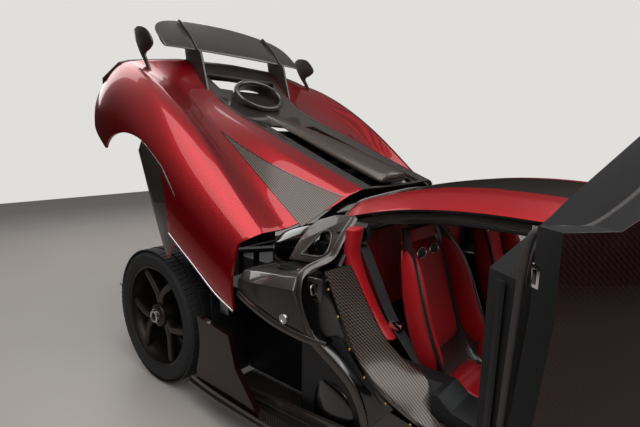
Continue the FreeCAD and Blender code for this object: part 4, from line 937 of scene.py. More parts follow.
@dataclass
class RearLid:
    """Body lid over the engine with its wing, drawn shut and then raised."""

    wall: float = 12 * MM
    arch_centre: tuple[float, float] = (REAR_AXLE, 355 * MM)
    arch_radius: float = 400 * MM
    arch_inner: float = 560 * MM
    wing_middle: tuple[float, float] = (-2300 * MM, 1062 * MM)
    wing_chord: float = 328 * MM
    wing_half_span: float = 583 * MM
    wing_tilt_deg: float = 15.0
    pylon_y: float = 362 * MM
    pylon_base_x: float = -1930 * MM
    winglet_y: float = 692 * MM
    winglet_x: float = -2035 * MM
    hoop_x: float = -1857 * MM
    hoop_lean_deg: float = 21.5
    hoop_half: tuple[float, float] = (112 * MM, 188 * MM)
    hoop_tube: float = 17.5 * MM
    blade_y: float = 992 * MM
    # Half width of the bare middle, and where the inner face turns to the wheel opening
    bare_half: float = 345 * MM
    inner_half: float = 930 * MM
    flange_half: float = 575 * MM
    flange_depth: float = 85 * MM
    raise_up: Matrix = field(default_factory=lambda: opened("rear_lid_hinge"))
    surface: Optional[BVHTree] = None

    def skin(self) -> bpy.types.Object:
        """Build the lid's outer skin, with its wheel openings, window slot and tail gap.

        Returns:
            The lid, still shut.
        """
        sharp = {0: 0.6, 3: 0.25, 4: 0.75, 5: 0.35, 7: 0.45, 8: 0.85}
        lid = smooth_sheet("lid_skin", [station.row() for station in LID_STATIONS],
                           [RED_CARBON, BARE_CARBON, SATIN_CARBON], self.wall, sharp)
        self.surface = BVHTree.FromObject(lid, bpy.context.evaluated_depsgraph_get())
        front = scaled([(-578, 380), (-578, 470), (-735, 700), (-660, 890), (-622, 1100), (-300, 1100),
                        (-300, 380)])
        cutters = [prism("front_cut", front, -1.1, 1.1, SATIN_BLACK)]
        for side in SIDES.values():
            ring = circle(*self.arch_centre, self.arch_radius)
            cutters.append(prism("arch_cut", ring, *side_span(side, self.arch_inner, 1.1), SATIN_BLACK))
        slot = scaled([(-660, -250), (-660, 250), (-1500, 215), (-1500, -215)])
        gap = scaled([(-1960, -250), (-1960, 250), (-2080, 300), (-2080, -300)])
        cutters += [prism("opening_cut", outline, 0.6, 1.2, SATIN_BLACK, "Z") for outline in (slot, gap)]
        carve(lid, cutters)
        soften(lid, 2.5 * MM, 2, 50.0)

        def finish(place: Vector, normal: Vector) -> int:
            """Leave the middle bare and the inner face satin."""
            if normal.z < -0.25 and abs(place.y) < self.inner_half:
                return 2
            return 1 if abs(place.y) < self.bare_half else 0
        return shade(paint(lid, finish), 38.0)

    def height(self, x: float, y: float) -> float:
        """Find the lid's outer face at a place in plan."""
        return height_over(self.surface, x, y, 0.85)

    def inlay(self, name: str, left: Sequence[Point], right: Sequence[Point], finish: Finish,
              lift: float, along: int = 40, across: int = 8) -> bpy.types.Object:
        """Lay a thin panel on the lid between two lines in plan.

        Args:
            name: The object's name.
            left: Start and end of its left line, x and y.
            right: Start and end of its right line.
            finish: Its finish.
            lift: Height over the skin.
            along: Pieces along the lines.
            across: Pieces between them.

        Returns:
            The panel, still shut.
        """
        top = []
        for i in range(along + 1):
            a, b = (Vector((*start, 0)).lerp(Vector((*end, 0)), i / along) for start, end in (left, right))
            top.append([a.lerp(b, j / across) for j in range(across + 1)])
        points = [Vector((p.x, p.y, self.height(p.x, p.y) + lift)) for row in top for p in row]
        mesh = bpy.data.meshes.new(name)
        mesh.from_pydata([tuple(p) for p in points], [], grid_faces(along + 1, across + 1, False))
        with edited(mesh) as shape:
            bmesh.ops.remove_doubles(shape, verts=shape.verts, dist=1e-5)
            if sum(f.normal.z for f in shape.faces) < 0:
                bmesh.ops.reverse_faces(shape, faces=shape.faces)
        piece = new_object(name, mesh, [finish])
        thick = piece.modifiers.new("wall", "SOLIDIFY")
        thick.thickness = lift + 2 * MM
        thick.offset = -1.0
        return shade(bake(piece), 60.0)

    def inlays(self, side: str) -> list[bpy.types.Object]:
        """Build the bare carbon panels, and a metal strip that is a painted highlight along the rail's edge,
        on one side.
        """
        s = SIDES[side]
        return [
            self.inlay("lid_triangle_" + side, ((-1.44, s * 0.580), (-0.672, s * 0.640)),
                       ((-1.44, s * 0.578), (-0.662, s * 0.452)), OPEN_CARBON, 2.0 * MM),
            self.inlay("lid_triangle_edge_" + side, ((-1.45, s * 0.578), (-0.66, s * 0.449)),
                       ((-1.45, s * 0.576), (-0.66, s * 0.443)), GLOSS_BLACK, 3.0 * MM, 60, 2),
            # An aluminium strip painted in as a highlight along the edge of the bare middle
            self.inlay("lid_rail_line_" + side, ((-0.64, s * 0.302), (-1.86, s * 0.318)),
                       ((-0.64, s * 0.310), (-1.86, s * 0.326)), ALUMINIUM, 2.5 * MM, 60, 2),
        ]

    def wing(self) -> bpy.types.Object:
        """Build the top-hung wing with rounded tips."""
        profile = ((0.5, -0.004), (0.47, 0.020), (0.38, 0.034), (0.24, 0.042), (0.1, 0.044), (-0.1, 0.038),
                   (-0.3, 0.026), (-0.46, 0.013), (-0.5, 0.008), (-0.5, 0.001), (-0.46, -0.003),
                   (-0.3, -0.026), (-0.1, -0.054), (0.1, -0.074), (0.26, -0.070), (0.4, -0.046),
                   (0.48, -0.022))
        stations = ((1.0, 0.42, -10), (0.985, 0.54, -9), (0.93, 0.68, -6), (0.84, 0.79, -4), (0.72, 0.87, -3),
                    (0.4, 0.97, 0), (0.0, 1.0, 0))
        c = math.cos(math.radians(self.wing_tilt_deg))
        s = math.sin(math.radians(self.wing_tilt_deg))
        nose = self.wing_middle[0] + self.wing_chord / 2 * c
        low = self.wing_middle[1] - self.wing_chord / 2 * s
        rows = []
        for span, chord, lift in [(-span, *rest) for span, *rest in stations] + list(reversed(stations[:-1])):
            size = self.wing_chord * chord
            rows.append([(nose + size * ((px - 0.5) * c + pz * s), self.wing_half_span * span,
                          low + lift * MM + size * ((0.5 - px) * s + pz * c)) for px, pz in profile])
        return loft("top_wing", rows, BARE_CARBON, 1)

    def pylon(self, side: str) -> bpy.types.Object:
        """Build one curved blade that holds the wing from above."""
        foot = self.pylon_base_x
        y = SIDES[side] * self.pylon_y
        base = self.height(foot, y)
        x, z = self.wing_middle
        front = around(foot, base, ((22, -12), (-80, 86), (-160, 165)))
        front += around(x, z, ((166, -26), (70, 14), (-40, 38), (-106, 50)))
        back = around(x, z, ((-114, 37), (-30, 12), (22, -22), (38, -84), (88, -148)))
        back += around(x, base, ((132, -36),))
        outline = [(p.x, p.y) for line in (front, back) for p in smooth_line(line, 5)]
        return plate("wing_pylon", outline, y, 8 * MM, BARE_CARBON, 4 * MM, 3)

    def winglet(self, side: str) -> bpy.types.Object:
        """Build the small swept fin on its stalk at the outer corner of the deck."""
        x, y = self.winglet_x, SIDES[side] * self.winglet_y
        base = self.height(x, y)
        offsets = ((18, -14), (-50, 26), (-104, 58), (-72, 100), (-53, 142), (-82, 168), (-162, 188),
                   (-235, 168), (-262, 146), (-276, 116), (-225, 78), (-160, 42), (-90, 14), (-36, -16))
        fin = smooth_line(around(x, base, offsets), 3)
        return plate("winglet", [(p.x, p.y) for p in fin], y, 5.5 * MM, BARE_CARBON, 3 * MM)

    def hoop(self) -> bpy.types.Object:
        """Build the oval ring where the two rails meet, with the thin wall that closes it onto the lid."""
        lean = Matrix.Rotation(math.radians(self.hoop_lean_deg), 4, "Y")
        place = Vector((self.hoop_x, 0, self.height(self.hoop_x, 0.1) + 50 * MM))
        long, wide = self.hoop_half
        sections = {
            "tube": circle(0.0, 0.0, self.hoop_tube, 14),
            "wall": scaled([(-5.5, -69), (5.5, -69), (5.5, 0), (-5.5, 0)])}
        pieces = []
        for name, section in sections.items():
            rows = []
            for a in full_turn(64, True):
                rows.append([lean @ Vector(((long + d) * math.cos(a), (wide + d) * math.sin(a), h)) + place
                             for d, h in section])
            pieces.append(skinned(name, rows, BARE_CARBON))
        return shade(join("lid_hoop", pieces), 60.0)

    def side_blade(self, side: str) -> bpy.types.Object:
        """Build the hanging blade that shades the wheel, with its red edge."""
        s = SIDES[side]
        corners = scaled([(-1487, 703), (-1380, 620), (-1277, 539), (-1150, 445), (-1058, 388),
                          (-1034, 404), (-1042, 560), (-1080, 630), (-1130, 686), (-1280, 742),
                          (-1400, 755), (-1484, 755)])
        span = side_span(s, self.blade_y, self.blade_y + 7 * MM)
        face = prism("face", corners, *span, BARE_CARBON, bevel=1.5 * MM)
        y = s * (self.blade_y + 3.5 * MM)
        lower = [(x, y, z) for x, z in corners[:8]]
        edge = sweep("edge", lower, 9 * MM, 7 * MM, RED_CARBON, (0, 1, 0), 8, 3)
        return join("hanging_blade", [face, edge])

    def lower_highlight(self, side: str) -> bpy.types.Object:
        """Build a chrome strip that is a painted highlight along the lower front edge."""
        s = SIDES[side]
        points = scaled([(-585, 965, 462), (-700, 985, 468), (-850, 995, 484), (-1000, 1003, 496),
                         (-1080, 1008, 505)], s)
        return sweep("lid_lower_line_" + side, points, 8 * MM, 9 * MM, CHROME, sides=8)

    def spine(self) -> bpy.types.Object:
        """Build the lacquered hump that runs from the hoop to the roof."""
        rows = []
        for x, half, rise in ((-0.668, 0.135, 0.060), (-0.70, 0.148, 0.074), (-0.82, 0.146, 0.076),
                              (-1.0, 0.136, 0.070), (-1.25, 0.118, 0.056), (-1.5, 0.096, 0.036),
                              (-1.68, 0.070, 0.014), (-1.72, 0.050, 0.004)):
            base = self.height(x, 0.0)
            ring = ((-1.0, -0.02), (-0.93, 0.35), (-0.74, 0.74), (-0.4, 0.96), (0.0, 1.0), (0.4, 0.96),
                    (0.74, 0.74), (0.93, 0.35), (1.0, -0.02))
            rows.append([(x, half * u, base - 0.006 + rise * v) for u, v in ring])
        return loft("lid_spine", rows, OPEN_CARBON, 2)

    def flange(self) -> bpy.types.Object:
        """Build the turned-down flange inside the lid's front edge."""
        rows = []
        steps = 28
        for k in range(steps + 1):
            y = -self.flange_half + 2 * self.flange_half * k / steps
            top = self.height(-0.668, y) - 13 * MM
            deep = self.flange_depth * min(1.0, (0.60 - abs(y)) / 0.08)
            rows.append([(-0.656, y, top), (-0.652, y, top - deep * 0.5), (-0.656, y, top - deep),
                         (-0.664, y, top - deep), (-0.660, y, top - deep * 0.5), (-0.664, y, top)])
        return loft("front_flange", rows, GLOSS_BLACK, 1)

    def build(self) -> None:
        """Build the lid's pieces, raise them and set them on their body."""
        made = [(self.skin(), "red_carbon", ["clam_skin"]), (self.wing(), "carbon", ["wing"]),
                (self.hoop(), "carbon", ["clam_hoop"]),
                (both_sides("wing_pylons_pair", self.pylon), "carbon", ["wing_pylons"]),
                (self.flange(), "carbon", []), (self.spine(), "carbon", []),
                (both_sides("winglet_pair", self.winglet), "carbon", ["winglets"]),
                (both_sides("hanging_blades", self.side_blade), "carbon", ["clam_blades"])]
        for side in SIDES:
            made += [(piece, "carbon", []) for piece in [*self.inlays(side), self.lower_highlight(side)]]
        for piece, slot, nodes in made:
            seat(move(piece, self.raise_up), "rear_lid", slot, *nodes)
        # The tail band takes the candy red darkened with painted shade
        for node, name, finish, slot in (("clam_spine", "louvre", GLOSS_BLACK, "satin_black"),
                                         ("clam_tail", "tail_band", SHADED_RED_CARBON, "red_carbon"),
                                         ("tail_lamps", "tail_lamp_covers", RED_GLASS, "red_glass")):
            seat(softened_copy(node, name, finish), "rear_lid", slot, node)


@dataclass
class Wheel:
    """A road wheel with a treaded tyre, a forked rim, a centre lock and its brake disc."""

    place: str
    side: str
    radius: float
    width: float
    rim_radius: float
    track: float
    spoke_places: tuple[float, float, float] = (85.0, 205.0, 325.0)
    spread_deg: float = 31.0
    hub_radius: float = 62 * MM
    # How far the rim's edge lies inside the tyre's side, and the spokes' face
    edge_depth: float = 14 * MM
    face_depth: float = 28 * MM
    tread_rows: int = 78
    tread_depth: float = 8 * MM

    @property
    def centre(self) -> Vector:
        """Give the wheel's centre in the frame."""
        axle = REAR_AXLE if self.place == "rear" else FRONT_AXLE
        return Vector((axle, SIDES[self.side] * self.track, self.radius))

    def tyre(self) -> bpy.types.Object:
        """Build the tyre's body and its rows of tread blocks, with the outer face at -Y."""
        half = self.width / 2
        seat_r = self.rim_radius + 1.5 * MM
        base = self.radius - self.tread_depth
        side = [(seat_r, 30), (seat_r + 1 * MM, 12), (self.rim_radius + 13 * MM, 4),
                (self.rim_radius + 17 * MM, 5), (self.rim_radius + 22 * MM, 1),
                (self.rim_radius + 34 * MM, 0.5), (base - 40 * MM, 0.5), (base - 28 * MM, 3),
                (base - 24 * MM, 3), (base - 21 * MM, 6), (base - 9 * MM, 16), (base - 2 * MM, 32),
                (base, 52)]
        profile = [(r, -half + d * MM) for r, d in side] + [(r, half - d * MM) for r, d in reversed(side)]
        profile += [(self.radius - 22 * MM, half - 36 * MM), (self.radius - 22 * MM, -half + 36 * MM)]
        body = revolve("tyre_body", profile, "Y", RUBBER, 96)
        ribs = ((-0.93, -0.60, -2.5), (-0.55, -0.22, -0.6), (-0.17, 0.17, 0.0), (0.22, 0.55, -0.6),
                (0.60, 0.93, -2.5))
        pitch = 2 * math.pi * self.radius / self.tread_rows
        blocks = []
        for start, end, drop in ribs:
            reach, way = 0.44 * pitch, 0 if start < 0 < end else math.copysign(1, start)
            skew = 0.16 * pitch * way
            y0, y1 = start * half, end * half
            outline = [(-reach - skew, y0), (reach - skew, y0), (reach + skew, y1), (-reach + skew, y1)]
            blocks.append(prism("tread", outline, base - 3 * MM, self.radius + (drop - 0.3) * MM, RUBBER, "Z",
                                1.2 * MM, 1))
        row = join("tread_row", blocks)
        tread = repeated("tread", row, [(0, 0, 0)] * self.tread_rows, RUBBER, 360 / self.tread_rows)
        return shade(join("tyre", [body, tread]), 35.0)

    def spoke_arm(self, place: float, way: int) -> bpy.types.Object:
        """Build half of a forked spoke, from the hub to the rim."""
        inside = self.rim_radius - 6 * MM
        face = -self.width / 2 + self.face_depth
        # Radius share, angle from the spoke's middle, width, face depth, thickness
        stations = ((0.16, 11.0 * way, 30, 16, 44), (0.28, 8.5 * way, 37, 12, 42),
                    (0.42, 8.0 * way, 40, 8, 38), (0.54, 14.0 * way, 38, 5, 34),
                    (0.70, 22.5 * way, 37, 3, 31), (0.86, 28.0 * way, 39, 2, 30),
                    (1.0, self.spread_deg * way, 46, 2, 30))
        knots = []
        for share, off, width, depth, thick in stations:
            a = math.radians(place + off)
            r = inside * share
            knots.append((Vector((r * math.cos(a), face + depth * MM, r * math.sin(a))), width * MM,
                          thick * MM))
        rows = []
        for i, (spot, width, thick) in enumerate(knots):
            along = (knots[min(i + 1, 6)][0] - knots[max(i - 1, 0)][0]).normalized()
            across = along.cross(Vector((0, 1, 0))).normalized()
            ring = ((-0.5, 0.22), (-0.42, 0.05), (-0.3, 0.0), (0.3, 0.0), (0.42, 0.05), (0.5, 0.22),
                    (0.46, 0.95), (0.30, 1.0), (-0.30, 1.0), (-0.46, 0.95))
            rows.append([spot + across * (u * width) + Vector((0, v * thick, 0)) for u, v in ring])
        return loft("spoke_arm", rows, BRONZE, 2)

    def rim(self) -> bpy.types.Object:
        """Build the rim's barrel with its stepped lip and the spokes."""
        half = self.width / 2 - self.edge_depth
        r = self.rim_radius
        outer = around(r, -half, ((12, 0), (12, 8), (2, 10), (0, 16), (-14, 60)))
        outer += around(r, half, ((-14, -40), (10, -12), (12, -9), (12, 0), (-6, -2)))
        inner = around(r, half, ((-22, -44),))
        inner += around(r, -half, ((-22, 64), (-13, 34), (-9, 20), (-8, 6), (-3, 4.5), (1, 3), (4, 0.5)))
        pieces = [revolve("barrel", outer + inner, "Y", BRONZE, 96)]
        for place in self.spoke_places:
            pieces += [self.spoke_arm(place, way) for way in (-1, 1)]
        face = -half + self.edge_depth
        hub = self.hub_radius / MM
        ring = ((18, -4), (40, -4), (46, -1), (hub - 4, 2), (hub, 8), (hub, 120), (18, 120))
        pieces.append(revolve("hub", around(0.0, face, ring), "Y", BRONZE, 48))
        return join("rim", pieces)

    def centre_lock(self) -> bpy.types.Object:
        """Build the recessed nut with its lugs and locking pin."""
        face = -self.width / 2 + self.face_depth
        ring = ((20, -20), (24, -23), (30, -23), (33.5, -19), (34, -2), (20, -2))
        nut = revolve("nut", around(0.0, face, ring), "Y", ALUMINIUM, 48)
        lug = block("lug", (33 * MM, face - 15 * MM, -5 * MM), (38 * MM, face - 3 * MM, 5 * MM), ALUMINIUM,
                    1 * MM)
        lugs = repeated("lugs", lug, [(0, 0, 0)] * 6, ALUMINIUM, 60.0)
        stub = around(0.0, face, ((0, -14), (9, -14), (11, -11), (11, -2), (0, -2)))
        pin = revolve("pin", stub, "Y", DARK_ALUMINIUM, 24)
        return join("centre_lock", [nut, lugs, pin])

    def disc(self) -> bpy.types.Object:
        """Build the vented brake disc with painted shade for its drilled holes, and its bolted bell."""
        half = self.width / 2 - self.edge_depth
        y0, y1 = half - 124 * MM, half - 92 * MM
        r = self.rim_radius - 46 * MM
        plates = [*around(r, y0, ((0, 0), (0, 11), (-12, 12))),
                  *around(r, y1, ((-12, -12), (0, -11), (0, 0), (-70, 0))), *around(r, y0, ((-70, 0),))]
        outer = revolve("plates", plates, "Y", STEEL, 72)
        cup = [*around(r, y1, ((-71, -6),)), *around(r, y0, ((-71, 6), (-82, -16))),
               *around(0.0, y0, ((50, -18),)), *around(0.0, y1, ((50, -6),))]
        bell = revolve("bell", cup, "Y", DARK_ALUMINIUM, 48)
        holes = []
        # The drilled holes are not cut: small gloss black discs on the disc's face are painted shade where
        # the holes would be
        for k, share in enumerate((0.18, 0.4, 0.62, 0.84)):
            shade_profile = around(0.0, y0, ((0, -0.4), (4, -0.4), (4, 1), (0, 1)))
            hole = revolve("hole", shade_profile, "Y", GLOSS_BLACK, 12)
            a, out = math.radians(7.0 * k), r - 70 * MM * share
            move(hole, Matrix.Translation((math.cos(a) * out, 0, math.sin(a) * out)))
            holes.append(repeated("holes", hole, [(0, 0, 0)] * 15, GLOSS_BLACK, 24.0))
        head = around(0.0, y0, ((0, -20), (6, -20), (6.5, -14), (0, -14)))
        bolt = revolve("bolt", head, "Y", STEEL, 6)
        move(bolt, Matrix.Translation((r - 96 * MM, 0, 0)))
        bolts = repeated("bolts", bolt, [(0, 0, 0)] * 10, STEEL, 36.0)
        return join("brake_disc", [outer, bell, *holes, bolts])

    def build(self) -> None:
        """Build the wheel and ride it on its body."""
        key = f"{self.place}_{self.side}"
        parts = [(self.tyre(), "road_tyre", "tyre", [f"tyre_{key}"]),
                 (self.rim(), "forked_rim", "bronze", [f"rim_{key}"]),
                 (self.centre_lock(), "centre_lock", "aluminium", []),
                 (self.disc(), "brake_disc", "steel", [])]
        for piece, name, slot, nodes in parts:
            if self.side == "left":
                move(piece, Matrix.Scale(-1, 4, Vector((0, 1, 0))))
            move(piece, Matrix.Translation(self.centre))
            piece.name = f"{name}_{key}"
            seat(piece, f"wheel_{key}", slot, *nodes)


@dataclass
class Seat:
    """Bucket seat with a carbon shell, leather cushions and harness slots."""

    side: str
    middle_y: float = 375 * MM
    runner_y: float = 150 * MM
    # Place, height, half width and side wall's height of each cross-section in millimetres
    path: tuple[tuple[float, float, float, float], ...] = (
        (-298, 918, 150, 40), (-282, 850, 172, 62), (-262, 765, 205, 92), (-240, 660, 228, 112),
        (-212, 550, 232, 118), (-175, 430, 232, 128), (-128, 318, 232, 150), (-55, 256, 232, 150),
        (60, 240, 232, 128), (190, 250, 230, 96), (300, 266, 222, 66), (372, 270, 205, 40))

    def spot(self, index: float, share: float, height: float) -> Vector:
        """Give a point over the shell.

        Args:
            index: Place along the seat's path.
            share: Place across, from -1 to 1.
            height: Distance in front of the shell, in metres.

        Returns:
            The point in the frame.
        """
        i = min(int(index), len(self.path) - 2)
        t = index - i
        a, b = self.path[i], self.path[i + 1]
        x, z, half = (a[k] + (b[k] - a[k]) * t for k in range(3))
        back = self.path[max(i - 1, 0)]
        ahead = self.path[min(i + 2, len(self.path) - 1)]
        along = Vector((ahead[0] - back[0], 0, ahead[1] - back[1])).normalized()
        normal = Vector((-along.z, 0, along.x))
        y = SIDES[self.side] * self.middle_y + share * half * MM
        return Vector((x * MM, y, z * MM)) + normal * height

    def wing(self, index: float) -> float:
        """Give the height of the shell's side wall at a place along the path."""
        i = min(int(index), len(self.path) - 2)
        return (self.path[i][3] + (self.path[i + 1][3] - self.path[i][3]) * (index - i)) * MM

    def shell(self) -> bpy.types.Object:
        """Build the carbon shell with its raised sides and rolled rim."""
        across = ((-1.035, 0.99), (-1.0, 1.0), (-0.985, 0.78), (-0.955, 0.42), (-0.88, 0.14), (-0.66, 0.02),
                  (-0.3, 0.0), (0.0, 0.0))
        across = across + tuple((-u, h) for u, h in reversed(across[:-1]))
        rows = [[self.spot(i, u, h * self.wing(i)) for u, h in across] for i in range(len(self.path))]
        return shade(smooth_sheet("seat_shell", rows, [BARE_CARBON], 9 * MM, {1: 0.4}, 2), 50.0)

    def cushion(self, name: str, start: float, end: float, half: float, depth: float,
                pleats: int) -> bpy.types.Object:
        """Build a stuffed leather pad that follows the shell.

        Args:
            name: The object's name.
            start: Where it starts on the path.
            end: Where it ends.
            half: Its half width as a share of the shell's.
            depth: Its stuffing's depth.
            pleats: How many pleats run across.

        Returns:
            The pad.
        """
        steps = max(pleats * 6, 18)
        columns = 13
        rows = []
        for i in range(steps + 1):
            share = i / steps
            index = start + (end - start) * share
            rise = min(1.0, math.sin(math.pi * share) * 4.0) ** 0.5
            seam = abs(math.sin(math.pi * share * pleats)) ** 0.4 if pleats else 1.0
            row = []
            for j in range(columns):
                u = -1 + 2 * j / (columns - 1)
                edge = (1 - abs(u) ** 5) ** 0.5
                height = 6 * MM + (depth - 6 * MM) * rise * edge * (0.78 + 0.22 * seam)
                row.append(self.spot(index, u * half, height))
            low = [self.spot(index, (1 - 2 * j / (columns - 1)) * half, 3 * MM) for j in range(columns)]
            rows.append(row + low)
        return loft(name, rows, RED_LEATHER, 1)

    def bolster(self, side: int, start: float, end: float) -> bpy.types.Object:
        """Build a side bolster that runs along the shell's wing."""
        steps, sides = 14, 14
        rows = []
        for i in range(steps + 1):
            share = i / steps
            index = start + (end - start) * share
            full = max(0.25, min(1.0, math.sin(math.pi * share) * 2.6) ** 0.6)
            height = self.wing(index) * 0.56 + 8 * MM
            row = []
            for a in full_turn(sides):
                u = side * (0.925 + 0.10 * full * math.cos(a))
                rise = (self.wing(index) * 0.42 + 6 * MM) * full * math.sin(a)
                row.append(self.spot(index, u, height + rise))
            rows.append(row if side > 0 else list(reversed(row)))
        return loft("bolster", rows, RED_LEATHER, 1)

    def slot_ring(self, share: float, index: float, width: float, height: float) -> list[bpy.types.Object]:
        """Build one harness slot with its polished ring."""
        points, inner = (
            [self.spot(index + grow * height * math.sin(a), share + grow * width * math.cos(a), lift)
             for a in full_turn(24)] for grow, lift in ((1.0, 41 * MM), (0.86, 42 * MM)))
        points += points[:2]
        ring = sweep("ring", points, 7 * MM, 7 * MM, CHROME, (1, 0, 0.2), 8, 1)
        backing = new_object("plate", mesh_from("plate", inner, [list(range(24))]), [SATIN_BLACK])
        return [ring, backing]

    def padding(self) -> list[bpy.types.Object]:
        """Build the seat's cushions and bolsters."""
        pads = [self.cushion("back", 1.0, 5.4, 0.87, 40 * MM, 0),
                self.cushion("head", 0.05, 0.95, 0.86, 46 * MM, 0),
                self.cushion("base", 6.4, 10.9, 0.84, 62 * MM, 4)]
        return pads + [self.bolster(way, *span) for way in (-1, 1) for span in ((1.0, 5.9), (6.2, 11.0))]

    def build(self) -> None:
        """Build the seat's harness slots and runners."""
        slots = [piece for share in (-0.3, 0.3) for piece in self.slot_ring(share, 1.5, 0.21, 0.24)]
        seat(join("harness_slots_" + self.side, slots), "chassis", "aluminium")
        rails = []
        for way in SIDES.values():
            y = SIDES[self.side] * self.middle_y + way * self.runner_y
            rails.append(block("runner", (-0.06, y - 12 * MM, 0.1353), (0.26, y + 12 * MM, 0.235),
                               DARK_ALUMINIUM))
        seat(join("seat_runners_" + self.side, rails), "chassis", "aluminium")


